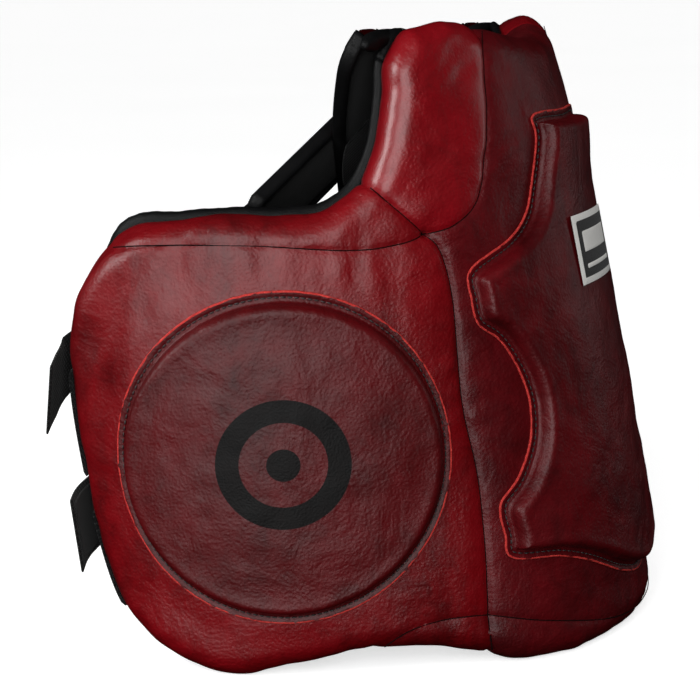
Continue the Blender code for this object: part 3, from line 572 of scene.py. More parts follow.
def printed_black():
    n = Nodes("printed_black")
    worn = n.noise(60.0, 6.0, 0.7)
    colour = n.ramp(worn, (0.35, (0.0014, 0.0013, 0.0013)), (0.75, (0.0040, 0.0030, 0.0030)))
    normal = n.bump(n.cells(620.0, "SMOOTH_F1"), 0.0005, 0.5)
    return n.finish(colour, n.worn(worn, 0.2, 0.48), normal, Specular_IOR_Level=0.16)


def thread_material():
    n = Nodes("waxed_thread", 0.55)
    twist = n.noise(1500.0, 3.0, 0.6)
    return n.finish(n.ramp(twist, (0.3, (0.006, 0.004, 0.004)), (0.7, (0.030, 0.022, 0.022))), None,
                    n.bump(twist, 0.0003, 0.6))


def seam_painted_shade():
    # Near-black red for the strips in the seams: painted shade in the seam crevices, not the colour of the
    # thread.
    n = Nodes("seam_painted_shade", 0.9)
    colour = n.ramp(n.noise(500.0), (0.3, (0.0015, 0.0005, 0.0006)), (0.7, (0.006, 0.001, 0.001)))
    return n.finish(colour, None, n.bump(n.noise(900.0), 0.0002, 0.5), Specular_IOR_Level=0.1)


def pale_floor():
    n = Nodes("pale_floor", 0.85)
    haze = n.noise(0.8, 3.0, 0.5)
    return n.finish(n.ramp(haze, (0.3, (0.62, 0.62, 0.62)), (0.7, (0.65, 0.65, 0.65))), None, None,
                    Specular_IOR_Level=0.1, Emission_Color=(1.0, 1.0, 1.0, 1.0), Emission_Strength=0.62)


def make_materials():
    return {
        "side": leather("oxblood_leather", (0.046, 0.0005, 0.0012), (0.106, 0.0005, 0.0020),
                        (0.150, 0.0012, 0.0036), 0.40, 0.20),
        "shoulder": leather("oxblood_gloss_leather", (0.070, 0.0005, 0.0016), (0.140, 0.0007, 0.0030),
                            (0.190, 0.0016, 0.0050), 0.38, 0.60, 0.28, (0.6, 0.9, 0.3)),
        "front": leather("deep_red_leather", (0.026, 0.0006, 0.0012), (0.056, 0.0008, 0.0020),
                         (0.090, 0.0014, 0.0034), 0.46, 0.06),
        "pad": leather("target_leather", (0.026, 0.0005, 0.0008), (0.052, 0.0006, 0.0014),
                       (0.074, 0.0010, 0.0026), 0.46, 0.02, creasing=0.08),
        "raw": raw_leather_edge(),
        "binding": black_leather(),
        "lining": woven("lining_cloth", (0.0015, 0.0015, 0.0017), (0.0060, 0.0060, 0.0065), 260.0,
                        0.0003, 0.9, 0.06),
        "webbing": woven("webbing_weave", (0.0015, 0.0015, 0.0016), (0.010, 0.010, 0.0105), 120.0,
                         0.0008, 0.75, 0.08),
        "loop": woven("loop_tape", (0.0015, 0.0015, 0.0015), (0.008, 0.008, 0.0085), 420.0,
                      0.0010, 1.0, 0.15),
        "white": woven("label_white", (0.55, 0.54, 0.52), (0.85, 0.84, 0.80), 330.0, 0.0003, 0.8, 0.1),
        "label": woven("label_black", (0.002, 0.002, 0.002), (0.008, 0.008, 0.008), 330.0, 0.0003, 0.8, 0.1),
        "print": printed_black(),
        "plastic": moulded_plastic(),
        "thread": thread_material(),
        "seam": seam_painted_shade(),
        "floor": pale_floor(),
    }


# How pieces ride

def fold_with(piece, side):
    """Bakes the piece's transform into its mesh; the piece does not bend where the wing folds."""
    start = skin(side * HINGE_U, 0.25, -0.010)
    end = skin(side * (HINGE_U + 0.039), 0.25, -0.010)
    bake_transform(piece)


def place(piece, body, slot, nodes, side=0):
    """Hangs the piece on its body, or for a wing-side piece only bakes its transform, and hides the model
    parts it stands for.
    """
    if side:
        fold_with(piece, side)
    else:
        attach(piece, body)
    if nodes:
        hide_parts(*nodes)
    return piece


# The leather skin

def rounded_edge(turn, lift):
    """(inset, level) at each angle round the edge, from the face to the back, lifted off the padding."""
    face = turn <= math.pi / 2 + 1e-6
    back = turn - math.pi / 2
    inset = np.where(face, FACE_ROUND - (FACE_ROUND + lift) * np.sin(turn),
                     BACK_ROUND - (BACK_ROUND + lift) * np.cos(back))
    level = np.where(face, (EDGE_LEVEL + lift) * np.cos(np.minimum(turn, math.pi / 2)) - EDGE_LEVEL,
                     -EDGE_LEVEL - (BACK_DROP + lift) * np.sin(np.maximum(back, 0.0)))
    return inset, level


def edge_section(heights):
    """(inset, level) of the edge for each row of unevenness: over the face, then back to the lining."""
    steps = heights.shape[1]
    behind = 90.0 + np.linspace(0.0, 62.0, steps - 10)[1:]
    turn = np.radians(np.concatenate([np.linspace(0.0, 90.0, 11), behind]))
    return rounded_edge(turn, heights)


def rear_flare():
    """How far the inner edge stands out past the face at the rear top corners, where the padding thins."""
    reach = np.abs(EDGE[:, 0])
    return 0.009 * ease(0.385, 0.445, reach) * ease(0.30, 0.36, EDGE[:, 1])


def neck_dip():
    """1 along the neck opening, where the inner edge sits a little lower than the face, and 0 elsewhere."""
    return (1.0 - ease(0.12, 0.19, np.abs(EDGE[:, 0]))) * (EDGE[:, 1] > 0.5)


def build_skin_mesh():
    """One fine mesh over the whole face and its rounded edge: world points, faces and each face's (u, v)."""
    face_loop = EDGE + FACE_ROUND * EDGE_IN
    guides = []
    for line in SEAMS:
        side = inward(line, closed=False)
        guides += [line + d * side for d in (-0.0055, -0.0026, -0.0011, 0.0, 0.0011, 0.0026, 0.0055)]
    places, triangles, rim = triangulate(face_loop, guides)
    points = [skin(places[:, 0], places[:, 1], leather_height(places[:, 0], places[:, 1]))]
    steps = 15
    flat_inset, _ = edge_section(np.zeros((len(EDGE), steps)))
    uv = EDGE[:, None, :] + np.maximum(flat_inset, 0.0)[:, :, None] * EDGE_IN[:, None, :]
    heights = leather_height(uv[..., 0].ravel(), uv[..., 1].ravel()).reshape(uv.shape[:2])
    along = np.arange(len(EDGE)) * FINE
    fade = ease(0.0, 6.0, np.arange(steps))
    heights = heights + 0.0007 * fade * noise(along / 0.016, along * 0, 21)[:, None]
    inset, level = edge_section(heights)
    inset += (0.0065 * neck_dip() - rear_flare())[:, None] * ease(7.0, steps - 1.0, np.arange(steps))
    swept = EDGE[:, None, :] + inset[:, :, None] * EDGE_IN[:, None, :]
    world = skin(swept[..., 0], swept[..., 1], level)
    count = len(places)
    points.append(world[:, 1:].reshape(-1, 3))

    def index(i, j):
        i = i % len(EDGE)
        return rim[i] if j == 0 else count + i * (steps - 1) + j - 1

    faces = [tuple(t) for t in triangles]
    centres = [places[list(t)].mean(axis=0) for t in triangles]
    for i in range(len(EDGE)):
        for j in range(steps - 1):
            faces.append((index(i, j), index(i, j + 1), index(i + 1, j + 1), index(i + 1, j)))
            centres.append((uv[i, j] + uv[i, j + 1] + uv[(i + 1) % len(EDGE), j]) / 3)
    return np.vstack(points), faces, np.array(centres)


def region(name):
    """Closed outlines, for the left half, of the areas that the leather is cut into."""
    fold, arm = smooth_line(FOLD_SEAM, FINE), smooth_line(ARM_SEAM, FINE)
    if name == "wing":
        return np.vstack([fold, arm[1:], [(0.70, 0.485), (0.70, 0.0), (0.182, 0.0)]])
    if name == "top":
        return np.vstack([smooth_line(TOP_SEAM, FINE), [(0.475, 0.60), (0.19, 0.60)]])
    if name == "hem":
        return np.vstack([smooth_line(HEM_SEAM, FINE), [(0.290, -0.1), (0.0, -0.1)]])
    return np.vstack([smooth_line(SHOULDER_SEAM, FINE)[::-1], arm[1:], [(0.262, 0.70), (0.078, 0.70)]])


def build_skin(finish):
    points, faces, centres = build_skin_mesh()
    half = np.stack([np.abs(centres[:, 0]), centres[:, 1]], axis=1)
    wing, top, hem = (inside(half, region(name)) for name in ("wing", "top", "hem"))
    shoulder = inside(half, region("shoulder")) & ~wing
    left = centres[:, 0] > 0

    def make(name, chosen, material, body, slot, nodes, side=0):
        piece = add_mesh(name, *part_of(points, faces, chosen), finish[material])
        return place(piece, body, slot, nodes, side)

    front = make("front_leather", ~wing & ~shoulder & ~hem, "front", "chest", "deep_red_leather",
                 ["front_panel", "chest_foam", "neck_band"])
    make("front_hem_leather", ~wing & hem, "front", "chest", "deep_red_leather", ["front_hem_band"])
    for side, name, here in ((-1, "right", ~left), (1, "left", left)):
        make(f"{name}_shoulder_leather", shoulder & here, "shoulder", None, "oxblood_leather",
             [f"{name}_shoulder_panel", f"{name}_armhole_band"], side)
        panel = make(f"{name}_side_leather", wing & here & ~top & ~hem, "side", None, "oxblood_leather",
                     [f"{name}_side_panel", f"{name}_rear_band", f"{name}_wing_foam"], side)
        make(f"{name}_top_leather", wing & here & top, "side", None, "oxblood_leather", [f"{name}_top_band"],
             side)
        make(f"{name}_hem_leather", wing & here & hem & ~top, "side", None, "oxblood_leather",
             [f"{name}_hem_band"], side)


def build_seam_lines(finish):
    """A thin near-black strip sunk in each seam: painted shade in the seam's crevice."""
    names = ["fold", "arm", "shoulder", "top"]
    for k, line in enumerate(SEAMS):
        line = line[nearest(line, EDGE, True)[0] > 0.006]
        line = line[inside(line, EDGE)]
        across = inward(line, closed=False)
        level = leather_height(line[:, 0], line[:, 1]) + 0.0001
        angles = circle(6)

        def ring(i):
            places = line[i] + 0.0005 * np.cos(angles)[:, None] * across[i]
            return skin(places[:, 0], places[:, 1], level[i] + 0.0004 * np.sin(angles))

        side = (1, -1)[k % 2] if k < 8 else 0
        # Each of these objects is a dark strip of painted seam shade.
        name = f"{'right' if side < 0 else 'left'}_{names[k // 2]}_seam_painted_shade" if side else "hem_seam_thread"
        place(add_mesh(name, *tube(line, ring), finish["seam"]), "chest", "black_binding", [], side)


def build_lining(finish):
    """The cloth inside, a little slack, in a chest piece and two wing pieces."""
    loop = (EDGE + 0.008 * EDGE_IN)[::2]
    places, triangles, _ = triangulate(loop, [], 0.007)
    u, v = places[:, 0], places[:, 1]
    depth = nearest(places, loop, True)[0]
    slack = 0.0016 * noise(u / 0.05, v / 0.06, 41) + 0.0009 * folds(u, v, 1.3, 0.09, 0.016, 42)
    t = -DEPTH + 0.001 + slack * ease(0.0, 0.02, depth) - 0.0025 * ease(0.0, 0.012, depth)
    points = skin(u, v, t)
    faces = [tuple(reversed(f)) for f in triangles]
    centre = np.array([places[list(f)].mean(axis=0) for f in triangles])
    for side, name, chosen in ((0, "chest", np.abs(centre[:, 0]) < 0.15),
                               (-1, "right_wing", centre[:, 0] < -0.15),
                               (1, "left_wing", centre[:, 0] > 0.15)):
        piece = add_mesh(f"{name}_lining_cloth", *part_of(points, faces, chosen), finish["lining"])
        place(piece, "chest", "black_lining", [f"{name}_lining"], side)


def nearest_index(u, v):
    return int(np.hypot(EDGE[:, 0] - u, EDGE[:, 1] - v).argmin())


def run_between(first, last):
    """Indices of the outline from one place to another, anticlockwise."""
    start, end = nearest_index(*first), nearest_index(*last)
    if end <= start:
        end += len(EDGE)
    return np.arange(start, end + 1) % len(EDGE)


def binding_tube(run):
    """Rolled binding round the back corner of the edge, pinched by its stitching."""
    angles = circle(14)
    flare, dip = rear_flare(), neck_dip()

    def ring(i):
        k = run[i]
        swell = 1.0 + 0.02 * math.sin(k * 1.9) + 0.03 * math.sin(k * 0.63)
        depth = BINDING_DEPTH - flare[k] / 2 + 0.0075 * dip[k]
        depth = depth + (BINDING_HALF_W + flare[k] / 2 - 0.0032 * dip[k]) * swell * np.cos(angles)
        places = EDGE[k] + depth[:, None] * EDGE_IN[k]
        t = BINDING_LEVEL + (BINDING_HALF_T - 0.0016 * dip[k]) * swell * np.sin(angles)
        return skin(places[:, 0], places[:, 1], t)

    return tube(run, ring)


def build_binding(finish):
    left_arm, right_arm = (0.1980, 0.5520), (-0.1980, 0.5520)
    left_hem, right_hem = (0.150, 0.045), (-0.150, 0.045)
    runs = [("neck_binding_roll", left_arm, right_arm, 0, ["chest_top_binding"]),
            ("hem_binding_roll", right_hem, left_hem, 0, ["front_hem_binding"]),
            ("left_wing_binding_roll", left_hem, left_arm, 1, ["left_wing_binding"]),
            ("right_wing_binding_roll", right_arm, right_hem, -1, ["right_wing_binding"])]
    for name, first, last, side, nodes in runs:
        piece = add_mesh(name, *binding_tube(run_between(first, last)), finish["binding"])
        place(piece, "chest", "black_binding", nodes, side)


# Raised pads

STITCH_LEVEL = RAW_EDGE - 0.0011
MARK_OUTER, MARK_INNER, SPOT_R = 0.052, 0.034, 0.013
PRINT_LIFT = 0.00022
LABEL_LOW, LABEL_HIGH = (-0.041, 0.3455), (0.041, 0.4045)
PAD_INSETS = (0.0, 0.0008, 0.0022, 0.0038, STITCH_IN, 0.0058, 0.0072, FLANGE, 0.0090, 0.0097, 0.0106, 0.0117,
              0.0128, 0.0140, 0.0153, 0.0170, 0.0195, 0.0235, 0.0300)


def pad_height(depth):
    """Height of a raised pad at each depth in from its cut edge: flange, groove, wall and crisp rim."""
    groove = 0.0009 * np.exp(-(((depth - STITCH_IN) / 0.0011) ** 2))
    flange = RAW_EDGE - 0.0007 * ease(0.0, 0.0060, depth) - groove
    x = np.clip((depth - FLANGE) / 0.0078, 0.0, 1.0)
    wall = (PAD_RISE - 0.0016) * (1.0 - (1.0 - x) ** 3.2) ** 0.62
    crown = 0.0016 * ease(0.014, 0.070, depth)
    lip = 0.0007 * np.exp(-(((depth - 0.0165) / 0.0035) ** 2))
    return flange + wall + crown + lip


def pad_unevenness(u, v, depth, seed):
    calm = ease(0.010, 0.030, depth)
    rim = 0.00035 * noise(u / 0.012, v / 0.012, seed + 3) * ease(0.0085, 0.011, depth)
    flange = 0.0004 * noise(u / 0.0045, v / 0.0045, seed + 4) * (1 - ease(0.006, 0.010, depth))
    face = 0.0008 * noise(u / 0.05, v / 0.05, seed) + 0.0003 * noise(u / 0.018, v / 0.018, seed + 1)
    return calm * face + rim + flange


def target_surface(side, radius, angle):
    """(u, v, level) on the round pad's face, before the skin is bent."""
    u = TARGET_U + radius * np.cos(angle)
    v = TARGET_V + radius * np.sin(angle)
    depth = TARGET_R - radius
    return u * side, v, pad_height(depth) + pad_unevenness(u * side, v, depth, 50 + side)


def target_disc(name, side, radii, count, finish, lift=0.0, filled=True):
    """Rings on the round pad's face, closed in the middle when it is filled."""
    rows = []
    for radius in radii:
        u, v, t = target_surface(side, radius, circle(count))
        rows.append(skin(u, v, t + lift))
    faces = grid_faces(len(radii), count, closed_columns=True)
    if filled:
        faces.append(tuple(range((len(radii) - 1) * count, len(radii) * count)))
    faces = faces if side < 0 else [tuple(reversed(f)) for f in faces]
    return add_mesh(name, np.vstack(rows), faces, finish)


def target_line(side, inset):
    """A closed line on the skin, inset from the round pad's cut edge."""
    radius, angles = TARGET_R - inset, circle(200)
    return np.stack([side * (TARGET_U + radius * np.cos(angles)), TARGET_V + radius * np.sin(angles)], axis=1)


def build_target(side, name, finish):
    radii = [TARGET_R - d for d in PAD_INSETS] + list(np.linspace(0.100, 0.004, 22))
    cover = target_disc(f"{name}_target_leather", side, radii, 200, finish["pad"])
    place(cover, None, "oxblood_leather", [f"{name}_target_cover", f"{name}_target_foam"], side)
    edge = cut_edge(f"{name}_target_cut_edge", target_line(side, 0.0), finish)
    place(edge, None, "oxblood_leather", [], side)
    stitch = smooth_line(target_line(side, STITCH_IN), 0.001, closed=True)
    thread = stitches(f"{name}_target_stitches", stitch, STITCH_LEVEL, finish)
    place(thread, None, "black_binding", [], side)
    build_mark(side, name, finish)


def build_mark(side, name, finish):
    """A plain printed aiming ring with a centre spot."""
    for part, radii, nodes in (("ring", np.linspace(MARK_OUTER, MARK_INNER, 6), [f"{name}_target_ring"]),
                               ("spot", np.linspace(SPOT_R, 0.001, 4), [])):
        piece = target_disc(f"{name}_target_{part}_print", side, radii, 120, finish["print"], PRINT_LIFT,
                            part == "spot")
        place(piece, None, "black_mark", nodes, side)


def cut_edge(name, loop, finish):
    """The raw edge of the leather round a raised pad, a little ragged."""
    normals = inward(loop)
    turn = 1.0 if inside(loop[:1] + 0.002 * normals[:1], loop)[0] else -1.0
    count = len(loop)
    rng = np.random.default_rng(count)
    ragged = rng.uniform(-0.00018, 0.00018, count)
    section = [(0.0003, -0.0004), (-0.0005, 0.0002), (-0.0006, 0.0009), (-0.0003, 0.0014), (0.0003, 0.0017),
               (0.0010, 0.0015)]
    points = []
    for i in range(count):
        for d, t in section:
            u, v = loop[i] + (d + ragged[i]) * turn * normals[i]
            points.append(skin(u, v, t))
    faces = grid_faces(count, len(section), closed_rows=True)
    return add_mesh(name, points, faces, finish["raw"])


def stitches(name, line, level, finish, pitch=0.0052, length=0.0042, radius=0.00062):
    """Separate sunk stitches of thick thread along a closed line on the skin."""
    step = np.linalg.norm(np.roll(line, -1, axis=0) - line, axis=1)
    total = step.sum()
    place_at = np.concatenate([[0.0], np.cumsum(step)])
    line = np.vstack([line, line[:1]])
    count = int(total / pitch)
    angles = circle(6)
    points, faces = [], []
    for k in range(count):
        middle = (k + 0.5) * total / count
        for s, swell in ((-1.0, 0.35), (-0.6, 0.9), (0.0, 1.0), (0.6, 0.9), (1.0, 0.35)):
            at = middle + s * length / 2
            u, v = (np.interp(at, place_at, line[:, c]) for c in (0, 1))
            ahead = [np.interp(min(at + 0.0005, total), place_at, line[:, c]) for c in (0, 1)]
            across = np.array([-(ahead[1] - v), ahead[0] - u])
            across = across / max(np.linalg.norm(across), 1e-9)
            rise = level + 0.0006 * (1.0 - s * s)
            ring = radius * swell
            places = np.array([u, v]) + ring * np.cos(angles)[:, None] * across
            points.append(skin(places[:, 0], places[:, 1], rise + ring * np.sin(angles)))
        start = k * 30
        faces += grid_faces(5, 6, closed_columns=True, start=start)
        faces += [tuple(start + i for i in reversed(range(6))), tuple(start + 24 + i for i in range(6))]
    return add_mesh(name, np.vstack(points), faces, finish["thread"])


def build_centre_pad(finish):
    normals = inward(PAD_LOOP)
    lines = [PAD_LOOP + d * normals for d in PAD_INSETS[1:]]
    lines = [np.vstack([line, line[:1]]) for line in lines]
    places, triangles, _ = triangulate(PAD_LOOP, lines, 0.005, 0.3)
    depth, _ = nearest(places, PAD_LOOP, True)
    t = pad_height(depth) + pad_unevenness(places[:, 0], places[:, 1], depth, 60)
    cover = add_mesh("centre_pad_leather", skin(places[:, 0], places[:, 1], t), triangles, finish["front"])
    place(cover, "chest", "deep_red_leather", ["centre_pad_cover", "centre_pad_foam"])
    place(cut_edge("centre_pad_cut_edge", PAD_LOOP, finish), "chest", "deep_red_leather", [])
    stitch = smooth_line(PAD_LOOP + STITCH_IN * normals, 0.002, closed=True)
    place(stitches("centre_pad_stitches", stitch, STITCH_LEVEL, finish), "chest", "black_binding", [])


def patch(name, low, high, level, finish, thick=0.0007):
    """A flat rectangle of cloth on the centre pad with a rounded rim."""
    us = np.linspace(low[0], high[0], 24)
    vs = np.linspace(low[1], high[1], 18)
    grid_u, grid_v = np.meshgrid(us, vs)
    depth = np.minimum.reduce([grid_u - low[0], high[0] - grid_u, grid_v - low[1], high[1] - grid_v])
    t = level + thick * np.sqrt(np.clip(depth / 0.0012, 0.0, 1.0))
    return add_mesh(name, skin(grid_u, grid_v, t).reshape(-1, 3), grid_faces(len(vs), len(us)), finish)


def build_label(finish):
    """A plain woven label: a pale border round a black field with two pale bars."""
    level = PAD_RISE + 0.0018
    base = patch("label_border", LABEL_LOW, LABEL_HIGH, level, finish["white"])
    place(base, "chest", "woven_label", ["label_patch"])
    field = patch("label_field", (-0.037, 0.3495), (0.037, 0.4005), level + 0.0005, finish["label"], 0.0004)
    place(field, "chest", "woven_label", [])
    bars = (((-0.029, 0.3720), (0.029, 0.3900)), ((-0.029, 0.3580), (0.029, 0.3620)))
    for k, (low, high) in enumerate(bars):
        bar = patch(f"label_bar_{k}", low, high, level + 0.0008, finish["white"], 0.0004)
        place(bar, "chest", "woven_label", [])


# Straps

STRAP_ROLL_OUT, STRAP_ROLL_UP = 0.0034, 0.0068
SLIDER_CLEARANCE, SLIDER_HALF_H = 0.0032, 0.0050
SLIDER_HALF_LONG, SLIDER_WALL = 0.0095, 0.0014
KEEPER_HALF_WIDE, KEEPER_HALF_TALL = 0.075, 0.062
WAIST_LANDING, STRAP_LANDING = (0.135, 0.218), (0.246, 0.340)
ROLL_INNER, ROLL_OUTER, ROLL_R = 0.074, 0.166, 0.0078

def frame_normals(centres, across):
    along = np.gradient(centres, axis=0)
    normal = np.cross(along, across)
    normal /= np.linalg.norm(normal, axis=1, keepdims=True)
    return normal * np.sign(normal[:, 1:2])


def strap_frame(side):
    """Centres, half widths and outward normals of a padded strap; side -1 starts at the right shoulder."""
    run = STRAP_END - STRAP_TOP
    centres = np.array([(-0.1235, -0.0180, 0.5085), (-0.1200, -0.0146, 0.5035), tuple(STRAP_TOP)]
                       + [tuple(STRAP_TOP.lerp(STRAP_END, s)) for s in np.linspace(0.10, 1.0, 8)])
    centres = smooth_line(centres, 0.006)
    down = np.array(run.normalized())
    level = np.array([-1.0, 0.0, 0.0])
    across = level - down * level.dot(down)
    across /= np.linalg.norm(across)
    s = np.clip((centres @ down - np.array(STRAP_TOP) @ down) / run.length, 0.0, 1.0)
    blend = np.minimum(1.0, s * 3.0)[:, None]
    half = level * (1 - blend) + across * blend
    half /= np.linalg.norm(half, axis=1, keepdims=True)
    half = half * (STRAP_TOP_HALF_W + (STRAP_HALF_W - STRAP_TOP_HALF_W) * blend)
    half *= (0.42 + 0.58 * ease(-2.0, 9.0, np.arange(len(centres))))[:, None]
    normals = frame_normals(centres, half)
    if side > 0:
        mirror = np.array([-1.0, 1.0, 1.0])
        centres, half, normals = centres * mirror, half * mirror, normals * mirror
        centres = centres + STRAP_LIFT * ease(0.0, 0.10, s)[:, None] * normals[len(normals) // 2]
    return centres, half, normals


def padded_face(name, centres, half, normals, low, high, finish, seed):
    """One domed face of a padded strap, with long soft ripples."""
    across = np.concatenate([[-1.0], np.linspace(-0.985, 0.985, 19), [1.0]])
    dome = np.clip(1.0 - np.abs(across) ** 5, 0.0, 1.0) ** 0.5
    rows = []
    for i, (c, h, n) in enumerate(zip(centres, half, normals)):
        ripple = 0.0005 * noise(np.full(len(across), i / 2.5), across * 1.5, seed)
        level = low + (high - low) * dome + ripple * dome
        rows.append(c + across[:, None] * h * 0.965 + level[:, None] * n)
    return add_mesh(name, np.vstack(rows), grid_faces(len(centres), len(across)), finish)


def strap_edge(centres, half, normals):
    """A rolled binding round the strap's two long sides and its end."""
    unit = half / np.linalg.norm(half, axis=1, keepdims=True)
    along = (centres[-1] - centres[-2]) / np.linalg.norm(centres[-1] - centres[-2])
    down = centres - half + 0.5 * STRAP_THICK * normals
    up = centres + half + 0.5 * STRAP_THICK * normals
    end = centres[-1] + along * 0.004 + 0.5 * STRAP_THICK * normals[-1]
    turn = [end + half[-1] * s for s in (-0.88, 0.0, 0.88)]
    path = np.vstack([down, turn, up[::-1]])
    outward = np.vstack([-unit, [along - 0.3 * unit[-1], along, along + 0.3 * unit[-1]], unit[::-1]])
    lift = np.vstack([normals, np.tile(normals[-1], (3, 1)), normals[::-1]])
    angles = circle(12)

    def ring(i):
        across = STRAP_ROLL_OUT * np.cos(angles)[:, None] * outward[i]
        return path[i] + across + STRAP_ROLL_UP * np.sin(angles)[:, None] * lift[i]

    return tube(path, ring)


def ribbon(name, centres, half, normals, low, high, finish):
    """A flat woven strap with rounded selvedges."""
    across = np.concatenate([[-1.0, -0.985], np.linspace(-0.94, 0.94, 11), [0.985, 1.0]])
    full = np.array([0.35, 0.85] + [1.0] * 11 + [0.85, 0.35])
    middle, thick = (low + high) / 2, (high - low) / 2
    rings = []
    for c, h, n in zip(centres, half, normals):
        top = c + across[:, None] * h + (middle + thick * full)[:, None] * n
        under = c + across[::-1, None] * h + (middle - thick * full[::-1])[:, None] * n
        rings.append(np.vstack([top, under]))
    points, faces = tube(rings, lambda i: rings[i])
    return add_mesh(name, points, faces, finish)


def tail_frame(side):
    """Centres, half widths and normals of the webbing from a padded strap to the far wing."""
    centres, half, normals = strap_frame(side)
    level = STRAP_THICK + 0.0014
    start = centres[-9] + normals[-9] * level
    seam = centres[-1] + normals[-1] * (level + 0.001)
    mirror = np.array([-side, 1.0, 1.0])
    far = [np.array(p) * mirror for p in TAIL_POINTS]
    path = [start, (start + seam) / 2 + normals[-1] * 0.001, seam]
    path += [seam + (far[0] - seam) * s for s in (0.25, 0.5, 0.75)] + far
    turn = np.array([0.0, 0.0, 0.0, 0.0, 0.0, 0.10, 0.40, 0.8, 1.0])
    first, last = half[-1] / np.linalg.norm(half[-1]), np.array([0.10 * mirror[0], 0.10, -0.99])
    fine = smooth_line(path, 0.006)
    places = np.interp(np.linspace(0, 1, len(fine)), np.linspace(0, 1, len(path)), turn)[:, None]
    along = np.gradient(fine, axis=0)
    along /= np.linalg.norm(along, axis=1, keepdims=True)
    across = first * (1 - places) + last * places
    across -= along * (across * along).sum(axis=1, keepdims=True)
    across *= TAIL_HALF_W / np.linalg.norm(across, axis=1, keepdims=True)
    return fine, across, frame_normals(fine, across)


def build_straps(finish):
    for side, name in ((-1, "right"), (1, "left")):
        centres, half, normals = strap_frame(side)
        cover = padded_face(f"{name}_strap_leather", centres, half, normals, STRAP_THICK * 0.62,
                            STRAP_THICK + 0.001, finish["side"], 70)
        place(cover, HARNESS, "oxblood_leather", [f"{name}_strap_cover"])
        lining = padded_face(f"{name}_strap_cloth", centres, half, normals, STRAP_THICK * 0.38, -0.0006,
                             finish["lining"], 71)
        place(lining, HARNESS, "black_lining", [f"{name}_strap_padding"])
        edge = add_mesh(f"{name}_strap_edge_roll", *strap_edge(centres, half, normals), finish["binding"])
        place(edge, HARNESS, "black_binding", [f"{name}_strap_binding"])
        path, across, out = tail_frame(side)
        web = ribbon(f"{name}_strap_web", path, across, out, 0.0, WEB_THICK, finish["webbing"])
        place(web, HARNESS, "black_webbing", [f"{name}_strap_webbing"])
        seam_box(f"{name}_strap_web_stitches", path, across, out, finish)
        build_slider(name, path, across, out, finish)
    build_keeper(finish)


def seam_box(name, path, across, out, finish):
    """The box and cross of stitches that holds the webbing on the padded strap."""
    spots = np.array([(0.12, -0.8), (0.9, -0.8), (0.12, 0.8), (0.9, 0.8),
                      (0.12, -0.8), (0.12, 0.8), (0.9, 0.8), (0.9, -0.8)])
    reach = 8
    points, faces = [], []

    def at(s, w):
        k = s * reach
        i = min(int(k), reach - 1)
        base = path[i] + (path[i + 1] - path[i]) * (k - i)
        return base + across[i] * w + out[i] * (WEB_THICK + 0.0002)

    for first, last in zip(spots, spots[1:]):
        pieces = max(2, int(np.linalg.norm(at(*last) - at(*first)) / 0.004))
        for k in range(pieces):
            a, b = (at(*(first + (last - first) * (k + share) / pieces)) for share in (0.12, 0.88))
            add_thread(points, faces, a, b, out[3], 0.0005)
    piece = add_mesh(name, np.vstack(points), faces, finish["thread"])
    place(piece, HARNESS, "black_webbing", [])


def add_thread(points, faces, a, b, up, radius):
    """One straight stitch from a to b as a small closed six-sided spindle."""
    start = sum(len(p) for p in points)
    along = (b - a) / np.linalg.norm(b - a)
    side = np.cross(along, up)
    side /= np.linalg.norm(side)
    angles = circle(6)
    for s, swell in ((0.0, 0.4), (0.3, 1.0), (0.7, 1.0), (1.0, 0.4)):
        middle = a + (b - a) * s
        round_it = np.cos(angles)[:, None] * side + np.sin(angles)[:, None] * up
        points.append(middle + radius * swell * round_it)
    faces += grid_faces(4, 6, closed_columns=True, start=start)
    faces += [tuple(start + i for i in reversed(range(6))), tuple(start + 18 + i for i in range(6))]


def build_slider(name, path, across, out, finish):
    """A moulded loop round the webbing, with rounded corners and edges."""
    low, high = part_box(f"{name}_strap_slider")
    centre = (np.array(low) + np.array(high)) / 2
    k = int(np.linalg.norm(path - centre, axis=1).argmin())
    along = (path[k + 2] - path[k - 2]) / np.linalg.norm(path[k + 2] - path[k - 2])
    wide = across[k] / np.linalg.norm(across[k])
    up = out[k]
    middle = path[k] + up * WEB_THICK / 2
    corners = circle(32)
    half_w, half_h = TAIL_HALF_W + SLIDER_CLEARANCE, SLIDER_HALF_H
    squared_c = np.sign(np.cos(corners)) * np.abs(np.cos(corners)) ** 0.35
    squared_s = np.sign(np.sin(corners)) * np.abs(np.sin(corners)) ** 0.6
    section = circle(10)

    def ring(i):
        base = middle + wide * half_w * squared_c[i] + up * half_h * squared_s[i]
        outward = wide * squared_c[i] * 0.6 + up * squared_s[i]
        outward = outward / np.linalg.norm(outward)
        return np.array([base + along * SLIDER_HALF_LONG * math.cos(a)
                         + outward * SLIDER_WALL * math.sin(a) for a in section])

    piece = add_mesh(f"{name}_slider_loop", *tube(corners, ring, closed=True), finish["plastic"])
    place(piece, f"{name}_slider", "black_hardware", [f"{name}_strap_slider"])


